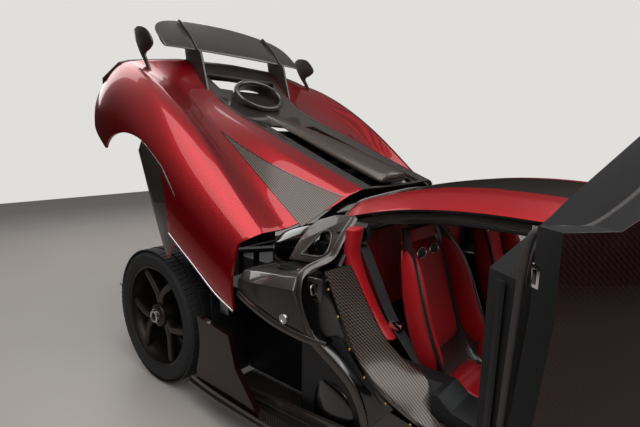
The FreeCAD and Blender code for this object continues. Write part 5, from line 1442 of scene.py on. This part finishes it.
@dataclass
class Cabin:
    """Roof, door frames, shoulder ducts and side intakes round the carbon tub."""

    # Place, rail, shoulder line and middle height of each cross-section in millimetres
    roof_table: tuple[tuple[float, tuple[float, float], tuple[float, float], float], ...] = (
        (351.7, (606, 1034), (450, 1078), 1090), (200, (616, 1043), (462, 1091), 1103),
        (50, (622, 1046), (470, 1096), 1108), (-100, (623, 1037), (470, 1091), 1103),
        (-250, (622, 1020), (470, 1076), 1090), (-400, (598, 985), (455, 1046), 1064),
        (-550, (560, 942), (430, 1002), 1024))
    carbon_half: float = 0.33

    def roof(self) -> bpy.types.Object:
        """Build the roof with its bare middle and painted sides."""
        rows = []
        for x, rail, side, centre in self.roof_table:
            near = ((rail[0] + side[0]) / 2, (rail[1] + side[1]) / 2 + 6)
            mid = (side[0] / 2, (side[1] + centre) / 2 + 2)
            rows.append(whole_row(x, [rail, (rail[0] * 0.985, rail[1] + 5), near, side,
                                      (self.carbon_half / MM, side[1] + 4), mid, (0, centre)]))
        # The roof's red sides take the same lacquer brightened as painted light; the bare middle and the
        # underside keep their own finishes
        roof = smooth_sheet("roof_panel", rows, [LIT_ROOF_RED, BARE_CARBON, SATIN_BLACK], 10 * MM,
                            {1: 0.5, 3: 0.25})
        paint(roof, lambda c, n: 2 if n.z < 0.1 else (1 if abs(c.y) < self.carbon_half else 0))
        return shade(roof, 40.0)

    def rails(self, s: float) -> list[bpy.types.Object]:
        """Build the roof's rear edge and the door seal from the windscreen to the rear pillar."""
        top = scaled([(350, 586, 985), (200, 592, 994), (0, 596, 996), (-200, 592, 978), (-350, 583, 943),
                      (-430, 590, 900), (-448, 655, 838), (-436, 730, 775)], s)
        rear = scaled([(-545, 558, 944), (-545, 500, 975), (-545, 430, 1002), (-545, 220, 1016),
                       (-545, 0, 1024)], s)
        lip = [Vector(p) + Vector((0, s * 0.004, 0.009)) for p in top[:5]]
        out = (0, s, 0.3)
        return [sweep("roof_edge", rear, 10 * MM, 16 * MM, BARE_CARBON, (0, 0, 1), 8, 5),
                sweep("roof_seal", top, 22 * MM, 18 * MM, SATIN_BLACK, out, 10, 5),
                sweep("seal_lip", lip, 6 * MM, 12 * MM, SEAL_RUBBER, out, 8, 5)]

    def strip(self, name: str, left: Sequence[Point], right: Sequence[Point], finish: Finish, bow: float,
              roll: float, s: float) -> bpy.types.Object:
        """Stretch a rolled carbon strip between two lines.

        Args:
            name: The object's name.
            left: Points on one edge, for the right side of the car.
            right: Points on the other edge.
            finish: Its finish.
            bow: How far its middle stands out.
            roll: Depth of its turned-in edges.
            s: The side, -1 or 1.

        Returns:
            The strip, with a wall of 4 mm.
        """
        rows = []
        out = Vector((0.25, -1.0, 0.25)).normalized()
        for a, b in zip(smooth_line(left, 4), smooth_line(right, 4)):
            across = (b - a) * 0.06
            row = [a - out * roll, a - across * 0.2, a + across + out * bow * 0.3,
                   a.lerp(b, 0.35) + out * bow, a.lerp(b, 0.65) + out * bow, b - across + out * bow * 0.3,
                   b + across * 0.2, b - out * roll]
            rows.append([Vector((q.x, -s * q.y, q.z)) for q in row])
        return shade(smooth_sheet(name, rows, [finish], 4 * MM, {1: 0.6}, 2), 45.0)

    def opening(self, s: float) -> list[bpy.types.Object]:
        """Build the carbon round the rear of the door opening, with its rivets and striker."""
        ring = scaled([(-455, 612, 958), (-462, 668, 902), (-463, 705, 860), (-470, 740, 815),
                       (-492, 785, 793), (-510, 840, 776), (-516, 880, 742), (-502, 902, 672),
                       (-470, 908, 600), (-420, 902, 526), (-338, 886, 462), (-268, 876, 402),
                       (-228, 874, 345), (-206, 874, 290), (-190, 874, 210), (-180, 874, 130)], s)
        flange = sweep("door_flange", ring, 36 * MM, 9 * MM, BARE_CARBON, (0, s, 0.35), 12, 5)
        left = scaled([(-416, -832, 787), (-392, -832, 740), (-360, -832, 680), (-279, -834, 531),
                       (-199, -834, 442), (-80, -836, 372), (30, -838, 338), (300, -840, 333)])
        right = scaled([(-399, -715, 789), (-365, -715, 735), (-318, -715, 660), (-225, -712, 525),
                        (-125, -712, 462), (-30, -735, 440), (50, -800, 346), (320, -802, 338)])
        band = self.strip("inner_band", left, right, OPEN_CARBON, 4 * MM, 14 * MM, s)
        back = scaled([(-520, -850, 755), (-505, -868, 665), (-475, -874, 595), (-428, -872, 522),
                       (-338, -870, 462), (-262, -868, 400), (-222, -868, 330), (-185, -868, 250)])
        edge = scaled([(-412, -846, 775), (-385, -846, 720), (-350, -848, 655), (-270, -850, 510),
                       (-185, -852, 425), (-65, -854, 365), (60, -856, 337), (300, -858, 326)])
        recess = self.strip("opening_recess", back, edge, GLOSS_BLACK, -18 * MM, 8 * MM, s)
        lower = scaled([(-185, -872, 250), (-20, -876, 215), (250, -880, 200), (500, -882, 200)])
        upper = scaled([(-100, -862, 350), (60, -862, 330), (300, -862, 320), (500, -862, 318)])
        skirt = self.strip("sill_skirt", lower, upper, BARE_CARBON, 3 * MM, 6 * MM, s)
        rivets = []
        for place in scaled([(-395, 850, 722), (-345, 853, 628), (-285, 856, 520), (-215, 858, 435),
                             (-120, 861, 374), (-20, 864, 341), (120, 864, 322), (280, 864, 314)], s):
            head = revolve("rivet", scaled([(0, 1), (4.5, 0.5), (5.5, -1), (5.5, -4), (0, -4)]), "Y",
                           BRASS, 16)
            rivets.append(move(head, Matrix.Translation(place) @ Matrix.Scale(s, 4, Vector((0, 1, 0)))))
        pocket = side_block("latch_pocket", s, (-505, 800, 652), (-425, 852, 752), BARE_CARBON, 8 * MM)
        well = side_block("latch_well", s, (-492, 820, 668), (-438, 853.5, 738), GLOSS_BLACK, 8 * MM)
        loop = scaled([(-470, 850, 725), (-465, 868, 722), (-460, 872, 705), (-458, 868, 690),
                       (-460, 850, 686)], s)
        striker = sweep("striker", loop, 8 * MM, 8 * MM, ALUMINIUM, (1, 0, 0), 10, 5)
        return [flange, band, recess, skirt, *rivets, pocket, well, striker]

    def pillar(self, s: float) -> list[bpy.types.Object]:
        """Build the lacquered quarter frame behind the door, its leather trim and the belt."""
        # The frame leans inwards over its foot; its lip stands out and its backing lies deeper
        foot, slope, frame_y, lip_y, backing_y = 0.74, 0.86, 0.765, 0.772, 0.60
        outline = scaled([(-652, 925), (-580, 950), (-480, 962), (-462, 955), (-466, 897), (-472, 814),
                          (-500, 785), (-581, 770), (-700, 762), (-699, 830), (-682, 890)])
        hole = scaled([(-643, 790), (-600, 880), (-556, 888), (-528, 849), (-535, 800)])
        panel = plate("quarter_frame", outline, 0.0, 6 * MM, BARE_CARBON)
        carve(panel, [plate("hole", hole, 0.0, 20 * MM, BARE_CARBON)])
        for vertex in panel.data.vertices:
            vertex.co.y += s * (frame_y - max(0.0, vertex.co.z - foot) * slope)
        soften(panel, 3 * MM, 2)
        rim = [(x, s * (lip_y - (z - foot) * slope), z) for x, z in [*hole, hole[0]]]
        lip = sweep("hole_rim", rim, 8 * MM, 6 * MM, BARE_CARBON, (0, s, slope), 8, 4)
        backing = plate("backing", scaled([(-680, 760), (-490, 770), (-490, 900), (-620, 920)]),
                        s * backing_y, 4 * MM, GLOSS_BLACK)
        works = [side_block("regulator", s, (-600, 635, 785), (-550, 675, 845), DARK_ALUMINIUM, 6 * MM),
                 side_block("bracket", s, (-585, 620, 845), (-555, 644, 875), STEEL, 3 * MM)]
        line = scaled([(-420, 930), (-430, 860), (-430, 800), (-400, 720), (-350, 630), (-300, 560),
                       (-240, 500)])
        rows = []
        for x, z in smooth_line(line, 5):
            full = 1.0 if z > 0.62 else 0.6
            rows.append([(x - 0.03, s * 0.69, z), (x + 0.012, s * (0.64 + 0.05 * full), z),
                         (x + 0.028, s * 0.655, z), (x + 0.024, s * 0.615, z), (x - 0.006, s * 0.585, z),
                         (x - 0.05, s * 0.60, z)])
        trim = loft("pillar_trim", rows, RED_LEATHER, 2)
        run = scaled([(-415, 600, 857), (-345, 602, 730), (-263, 604, 580), (-170, 606, 470),
                      (-84, 608, 380)], s)
        belt = sweep("belt", run, 44 * MM, 2 * MM, WEBBING, (1, s * 0.4, 0.4), steps=5, square=True)
        tongue = block("tongue", (-0.262, s * 0.602 - 0.022, 0.535), (-0.205, s * 0.602 + 0.004, 0.565),
                       CHROME, 4 * MM)
        guide = side_block("belt_guide", s, (-445, 572, 842), (-405, 628, 872), GLOSS_BLACK, 6 * MM)
        return [panel, lip, backing, *works, trim, belt, tongue, guide]

    def hump(self, s: float) -> bpy.types.Object:
        """Build the black air box beside the engine, under the lid's ridge."""
        middle = 0.467
        rows = []
        for x, top, wide in ((-0.69, 0.77, 0.6), (-0.71, 0.845, 0.9), (-0.75, 0.872, 1.0),
                             (-0.82, 0.868, 1.0), (-0.90, 0.845, 0.95), (-1.02, 0.80, 0.8),
                             (-1.05, 0.76, 0.5)):
            ring = ((0.565, 0.62), (0.562, 0.76), (0.548, top - 0.055), (0.505, top - 0.012), (0.455, top),
                    (0.41, top - 0.01), (0.375, top - 0.07), (0.37, 0.62))
            rows.append([(x, s * (middle + (y - middle) * wide), z) for y, z in ring])
        return loft("air_box", rows, GLOSS_BLACK, 2)

    def duct(self, s: float) -> list[bpy.types.Object]:
        """Build the shoulder duct with its vent, cap and lower flange."""
        # Place, inner and outer edge, foot and top of each cross-section
        table = ((-0.455, 0.735, 0.915, 0.540, 0.752), (-0.60, 0.675, 0.926, 0.556, 0.746),
                 (-0.75, 0.645, 0.908, 0.578, 0.726), (-0.885, 0.640, 0.880, 0.600, 0.702))
        rows = []
        for x, y0, y1, z0, z1 in table:
            ring = [(y0, z0), (y1, z0), (y1 + 0.004, z0 + 0.03), (y1 + 0.004, z1 - 0.045),
                    (y1 - 0.035, z1 - 0.004), (y0 + 0.02, z1), (y0, z1 - 0.02), (y0 + 0.01, z1 - 0.03),
                    (y1 - 0.04, z1 - 0.016), (y1 - 0.010, z1 - 0.052), (y1 - 0.010, z0 + 0.012),
                    (y0 + 0.01, z0 + 0.012)]
            rows.append([(x, s * y, z) for y, z in ring])
        # The mouth leans forwards at its foot
        rows[0] = [(x + (0.75 - z) * 0.42 - 0.075, y, z) for x, y, z in rows[0]]
        shell = loft("duct", rows, SATIN_CARBON, 0)
        soften(shell, 5 * MM, 3, 25.0)
        shell.data.materials.append(BARE_CARBON.material())
        paint(shell, lambda c, n: 1 if n.z > 0.45 else 0)
        vent = []
        for scale, lift, finish in ((1.0, 0.0015, SATIN_CARBON), (0.84, 0.0022, GLOSS_BLACK)):
            oval = [(-0.66 + 0.07 * scale * u, s * (0.785 + 0.028 * scale * v))
                    for u, v in circle(0.0, 0.0, 1.0, 28)]
            vent.append(prism("vent", oval, 0.735, 0.7395 + lift, finish, "Z"))
        profile = scaled([(0, 2), (11, 2), (12.5, 4.5), (19.5, 4.5), (21.5, 1), (21.5, -12), (0, -12)])
        cap = revolve("cap", profile, "Y", ALUMINIUM, 32)
        move(cap, Matrix.Translation((-0.552, s * 0.930, 0.586)) @ Matrix.Scale(s, 4, Vector((0, 1, 0))))
        lip = scaled([(-375, 885, 515), (-460, 924, 535), (-600, 934, 556), (-750, 916, 578),
                      (-885, 888, 600)], s)
        flange = sweep("duct_lip", lip, 26 * MM, 6 * MM, BARE_CARBON, (0, s, 0.25), 8, 5)
        return [shell, *vent, cap, flange]

    def intake(self, s: float) -> list[bpy.types.Object]:
        """Build the dark walls, floor and vane inside the side intake."""
        wall = plate("intake_wall", scaled([(-535, 125), (-1020, 125), (-1050, 300), (-1045, 420),
                                            (-1090, 600), (-885, 602), (-620, 565), (-535, 550)]),
                     s * 0.70, 3 * MM, SATIN_BLACK)
        roof = prism("intake_roof", scaled([(-530, 700), (-530, 840), (-885, 860), (-1060, 860),
                                            (-1060, 700)], s), 0.604, 0.610, SATIN_BLACK, "Z")
        ground = prism("intake_floor", scaled([(-530, 690), (-530, 860), (-900, 935), (-1000, 945),
                                               (-1000, 690)], s), 0.1075, 0.1125, SATIN_CARBON, "Z")
        rows = []
        for x, y, top in ((-0.52, 0.790, 0.29), (-0.49, 0.826, 0.325), (-0.44, 0.856, 0.355),
                          (-0.36, 0.872, 0.362), (-0.29, 0.864, 0.335), (-0.245, 0.852, 0.245)):
            ring = ((0, 0.124), (0.012, 0.17), (0.006, top - 0.05), (-0.008, top), (-0.014, top),
                    (0, top - 0.05), (0.006, 0.17), (-0.006, 0.124))
            rows.append([(x, s * (y + out), z) for out, z in ring])
        vane = loft("vane", rows, GLOSS_BLACK, 2)
        stop = side_block("intake_stop", s, (-1032, 700, 125), (-1026, 925, 600), SATIN_BLACK, 1 * MM)
        bracket = side_block("bracket", s, (-975, 893, 490), (-915, 917, 600), STEEL, 4 * MM)
        cover = scaled([(-518, 130), (-200, 130), (-205, 290), (-268, 400), (-350, 470), (-450, 535),
                        (-518, 535)])
        side = prism("tub_cover", cover, *side_span(s, 0.8503, 0.853), SATIN_BLACK)
        rear = side_block("tub_back", s, (-526, 640, 130), (-520.5, 850, 540), SATIN_BLACK, 1 * MM)
        return [wall, roof, ground, vane, stop, bracket, side, rear, self.hump(s)]

    def sill(self, s: float) -> list[bpy.types.Object]:
        """Build the layered edges of the sill blade."""
        low = scaled([(720, 908, 126), (400, 944, 126), (0, 972, 127), (-450, 984, 130), (-900, 988, 138),
                      (-1120, 978, 146)], s)
        lower = sweep("blade_lip", low, 5 * MM, 22 * MM, BARE_CARBON, (0, 0, 1), 10, 5)
        mid = scaled([(700, 908.5, 205), (300, 910, 206), (-100, 911, 190), (-600, 911, 165),
                      (-1040, 911, 142)], s)
        return [lower, sweep("blade_rib", mid, 6 * MM, 10 * MM, SATIN_CARBON, (0, 0, 1), 10, 5)]

    def build(self) -> None:
        """Build both sides and ride them on the chassis."""
        seat(self.roof(), "chassis", "red_carbon", "roof")
        # The finer pieces stand where the frame's posts and the tub's corners are cut away
        frames = softened_copy("cabin_frame", "door_frames", SATIN_CARBON, 2.5 * MM)
        tub = softened_copy("tub", "carbon_tub", SATIN_BLACK, 2 * MM)
        posts, corners = [], []
        for s in SIDES.values():
            posts.append(side_block("post", s, (-560, 612, 440.1), (60, 830, 925), SATIN_CARBON, 0.0))
            wedge = ((0.69, 0.47), (0.83, 0.47), (0.83, 0.332), (0.80, 0.332))
            corners.append(loft("wedge", [[(x, s * y, z) for y, z in wedge] for x in (-0.40, 0.02)],
                                SATIN_CARBON, 0))
        seat(shade(carve(frames, posts), 35.0), "chassis", "carbon", "cabin_frame")
        seat(shade(carve(tub, corners), 35.0), "chassis", "carbon", "tub")
        for name, make, slot, nodes in (("door_seals", self.rails, "satin_black", []),
                                        ("door_openings", self.opening, "carbon", ["sill_covers"]),
                                        ("quarter_frames", self.pillar, "carbon", []),
                                        ("shoulder_scoops", self.duct, "carbon", ["shoulder_ducts"]),
                                        ("intakes", self.intake, "satin_black", []),
                                        ("blade_edges", self.sill, "carbon", [])):
            seat(join(name, [piece for s in SIDES.values() for piece in make(s)]), "chassis", slot, *nodes)


@dataclass
class Door:
    """Door with a skin in red darkened by painted shade, padded inside, seal and latch."""

    side: str

    def shut_face(self, c: Vector, n: Vector) -> int:
        """Give the finish for a face of the door from its shut place."""
        s = SIDES[self.side]
        skin_from = 0.55 + max(0.0, 0.62 - (c.z - 0.40)) * 0.4
        # The skin takes the red darkened with painted shade, the padded inside black leather, and the shut
        # faces the black darkened with painted shade
        if n.y * s > 0.15 and abs(c.y) > skin_from:
            return 0
        padded = abs(c.y) < 0.845 and 0.355 < c.z < 0.70 and -0.25 < c.x < 0.66
        return 2 if padded else 1

    def build(self) -> None:
        """Build the door's pieces from its shut place."""
        s = SIDES[self.side]
        body = f"door_{self.side}"
        raised = opened(f"door_swing_{self.side}", f"door_roll_{self.side}")
        shut = raised.inverted()
        turn = shut.to_3x3()
        shell = softened_copy(body, f"door_skin_{self.side}", SHADED_RED_CARBON, 2.5 * MM)
        for finish in (SHADED_FACE_BLACK, BLACK_LEATHER):
            shell.data.materials.append(finish.material())
        paint(shell, lambda c, n: self.shut_face(shut @ c, turn @ n))
        seat(shell, body, "red_carbon", body)
        ridge = scaled([(-290, 822, 780), (-222, 874, 670), (-140, 924, 555), (-68, 927, 450),
                        (-62, 922, 385), (-45, 912, 353), (100, 900, 351), (350, 885, 350), (560, 860, 350)],
                       s)
        out, up = (0, 1, 0), (0, 0, 1)
        edge = [Vector(p) + Vector((0.014, 0, 0.012)) for p in ridge]
        grip = scaled([(300, 798, 600), (220, 786, 605), (80, 784, 600), (0, 798, 590)], s)
        rail = scaled([(30, 856, 356), (250, 850, 356), (460, 842, 356)], s)
        trim = join("door_details_" + self.side, [
            sweep("seal", ridge, 13 * MM, 11 * MM, SEAL_RUBBER, out, 10, 5),
            sweep("seal_edge", edge, 4 * MM, 8 * MM, SATIN_BLACK, out, 8, 5),
            sweep("pull", grip, 16 * MM, 26 * MM, RED_LEATHER, up, 12, 6),
            side_block("latch", s, (-20, 925, 347.5), (16, 943, 366), CHROME, 3 * MM),
            side_block("hook", s, (-12, 930, 346.5), (10, 938, 362), GLOSS_BLACK, 1 * MM),
            sweep("strip", rail, 20 * MM, 7 * MM, SATIN_BLACK, up, 8, 4)])
        seat(move(trim, raised), body, "satin_black")


@dataclass
class Nose:
    """Front body, luggage lid and headlamps, drawn from one smooth sheet."""

    wall: float = 10 * MM
    bare_half: float = 160 * MM
    # Each cross-section's place, seven points y and z from the foot up, and its middle height in millimetres
    stations: tuple[tuple[float, ...], ...] = (
        (755, 930, 150, 985, 420, 965, 660, 830, 765, 740, 775, 570, 735, 300, 750, 760),
        (1207, 930, 150, 1002, 420, 985, 650, 835, 772, 735, 778, 530, 680, 270, 705, 718),
        (1600, 900, 135, 985, 380, 965, 600, 830, 722, 730, 732, 500, 630, 260, 650, 662),
        (1900, 840, 135, 930, 330, 915, 500, 800, 610, 700, 622, 480, 560, 250, 572, 582),
        (2130, 660, 135, 770, 270, 765, 370, 690, 455, 600, 470, 400, 455, 200, 465, 470),
        (2262, 330, 190, 430, 245, 435, 300, 400, 345, 330, 362, 220, 372, 110, 378, 380))
    lid_plan: tuple[tuple[float, float], ...] = ((1.180, 0.400), (1.400, 0.470), (1.880, 0.430),
                                                 (2.014, 0.300))
    lamp_plan: tuple[tuple[float, float], ...] = ((1.790, 0.640), (1.800, 0.830), (2.080, 0.720),
                                                  (2.120, 0.560))
    # Height of the front wheel's centre and the radius of its opening
    arch: tuple[float, float] = (0.338, 0.383)
    arm_y: float = 150 * MM
    blade_count: int = 6
    blade_foot: float = 0.17
    blade_pitch: float = 0.028
    surface: Optional[BVHTree] = None

    def sheet(self, name: str, finishes: Sequence[Finish]) -> bpy.types.Object:
        """Build the whole skin of the nose."""
        rows = []
        for x, *rest in self.stations:
            half = [(rest[i], rest[i + 1]) for i in range(0, 14, 2)]
            rows.append(whole_row(x, half + [(0.0, rest[14])]))
        return smooth_sheet(name, rows, finishes, self.wall, {0: 0.6, 3: 0.3, 4: 0.6, 5: 0.3})

    @staticmethod
    def both_ways(plan: Sequence[tuple[float, float]]) -> list[tuple[float, float]]:
        """Close half a plan round the middle of the car."""
        return [(x, -y) for x, y in plan] + [(x, y) for x, y in reversed(plan)]

    def part(self, name: str, finishes: Sequence[Finish], plan: Sequence[tuple[float, float]],
             low: float) -> bpy.types.Object:
        """Keep the part of the skin inside an upright outline."""
        skin = self.sheet(name, finishes)
        return carve(skin, [prism("keep", plan, low, 0.95, SATIN_BLACK, "Z")], "INTERSECT")

    def body(self) -> bpy.types.Object:
        """Build the front body with its openings."""
        skin = self.sheet("nose_skin", [RED_CARBON, SATIN_BLACK])
        self.surface = BVHTree.FromObject(skin, bpy.context.evaluated_depsgraph_get())
        cowl = self.both_ways(((1.110, 0.001), (1.092, 0.430), (0.850, 0.780), (0.755, 0.815),
                               (0.700, 0.815)))
        cutters = [prism("cowl", cowl, 0.6, 0.9, SATIN_BLACK, "Z"),
                   prism("lid_cut", self.both_ways(self.lid_plan), 0.48, 0.9, SATIN_BLACK, "Z")]
        for s in SIDES.values():
            ring = circle(FRONT_AXLE, *self.arch)
            cutters.append(prism("arch", ring, *side_span(s, 0.5, 1.1), SATIN_BLACK))
            cutters.append(prism("lamp", [(x, s * y) for x, y in self.lamp_plan], 0.38, 0.8, SATIN_BLACK,
                                 "Z"))
        carve(skin, cutters)
        soften(skin, 2.0 * MM, 2, 50.0)
        core = Vector((1.5, 0.0, 0.30))

        def finish(place: Vector, normal: Vector) -> int:
            """Tell the faces that look inwards from the painted ones."""
            return 1 if normal.dot(place - core) < 0 and abs(place.y) < 0.99 else 0
        return shade(paint(skin, finish), 38.0)

    def lid(self) -> bpy.types.Object:
        """Build the luggage lid with its hinge arms."""
        plan = self.both_ways(((1.188, 0.394), (1.399, 0.4617), (1.8735, 0.4218), (1.900, 0.398),
                               (1.975, 0.317)))
        skin = self.part("luggage_lid_skin", [RED_CARBON, BARE_CARBON, SATIN_BLACK], plan, 0.45)
        soften(skin, 2.0 * MM, 2, 50.0)
        paint(skin, lambda c, n: 2 if n.z < 0.1 else (1 if abs(c.y) < self.bare_half else 0))
        outline = scaled([(1968, 504), (1984, 520), (1900, 572), (1820, 578), (1820, 560)])
        arms = [plate("arm", outline, s * self.arm_y, 6 * MM, SATIN_BLACK) for s in SIDES.values()]
        return shade(join("luggage_lid_panel", [skin, *arms]), 38.0)

    def lamp(self, s: float) -> list[bpy.types.Object]:
        """Build one headlamp's cover, housing and lights."""
        plan = scaled([(1792.5, 643.5), (1802.5, 826.5), (2077.5, 717.5), (2116.5, 563.5)], s)
        cover = shade(self.part("cover", [CLEAR_GLASS], plan, 0.38), 38.0)
        bowl = self.part("bowl", [GLOSS_BLACK], plan, 0.30)
        move(bowl, Matrix.Translation((0, 0, -0.040)))
        pieces = [cover, shade(bowl, 38.0)]
        rim = scaled([(22, -12), (22, 4), (27, 7), (31, 0), (31, -12)])
        dome = scaled([(0, 4), (12, 3), (21.5, -1), (21.5, -10), (0, -10)])
        for x, y in scaled([(1855, 725), (1935, 700), (2010, 672)], s):
            z = height_over(self.surface, x, y, 0.55) - 0.030
            tilt = Matrix.Translation((x, y, z)) @ Matrix.Rotation(math.radians(28), 4, Vector((0, 1, 0)))
            pieces += [move(revolve("ring", rim, "Z", CHROME, 32), tilt),
                       move(revolve("lens", dome, "Z", LAMP_WHITE, 24), tilt)]
        return pieces

    def grille(self) -> bpy.types.Object:
        """Build the blades in the front opening."""
        blade = block("blade", (2.02, -0.42, 0.0), (2.05, 0.42, 0.006), SATIN_BLACK, 1 * MM)
        places = [(0, 0, self.blade_foot + self.blade_pitch * k) for k in range(self.blade_count)]
        return repeated("front_blades", blade, places, SATIN_BLACK)

    def build(self) -> None:
        """Build the nose and ride it on its bodies."""
        seat(self.body(), "chassis", "red_carbon", "front_body")
        seat(self.lid(), "luggage_lid", "red_carbon", "bonnet")
        lamps = join("headlamp_units", [piece for s in SIDES.values() for piece in self.lamp(s)])
        seat(lamps, "chassis", "lamp_glass", "headlamps")
        seat(self.grille(), "chassis", "satin_black")


NODE_FINISHES = {
    "windscreen": CLEAR_GLASS, "bulkhead_trim": RED_LEATHER, "dashboard": BLACK_LEATHER,
    "steering_wheel": RED_LEATHER, "front_splitter": BARE_CARBON, "side_blades": BARE_CARBON,
    # The quarter panels take the candy red darkened with painted shade
    "quarter_panels": SHADED_RED_CARBON, "engine": CAST_ALLOY, "intake_plenum": BARE_CARBON,
    "rear_subframe": SATIN_BLACK, "rear_arms": DARK_ALUMINIUM, "front_arms": DARK_ALUMINIUM,
    "exhaust": TITANIUM, "diffuser": BARE_CARBON, "rear_arch_liners": SATIN_BLACK,
}
SIDE_FINISHES = {
    "door_glass_": TINTED_GLASS, "door_mirror_": BARE_CARBON, "door_arm_": DARK_ALUMINIUM,
    "knuckle_": DARK_ALUMINIUM,
}


def dress_nodes() -> None:
    """Give every CAD node that stays in sight its finish."""
    for node, finish in NODE_FINISHES.items():
        dress(node, finish)
    for start, finish in SIDE_FINISHES.items():
        for side in SIDES:
            dress(start + side, finish)


def main() -> None:
    """Build the studio and every sub-assembly."""
    logging.basicConfig(level=logging.INFO, format="%(name)s: %(message)s")
    Studio().build()
    dress_nodes()
    RearLid().build()
    for side in SIDES:
        Wheel("rear", side, radius=355 * MM, width=335 * MM, rim_radius=262 * MM, track=818 * MM).build()
        Wheel("front", side, radius=338 * MM, width=268 * MM, rim_radius=248 * MM, track=826 * MM).build()
        Seat(side).build()
        Door(side).build()
    seats = [Seat(side) for side in SIDES]
    seat(join("bucket_shells", [one.shell() for one in seats]), "chassis", "carbon", "seat_shells")
    leather = join("bucket_padding", [pad for one in seats for pad in one.padding()])
    seat(leather, "chassis", "red_leather", "seat_pads")
    Cabin().build()
    Nose().build()


if __name__ == "__main__":
    main()
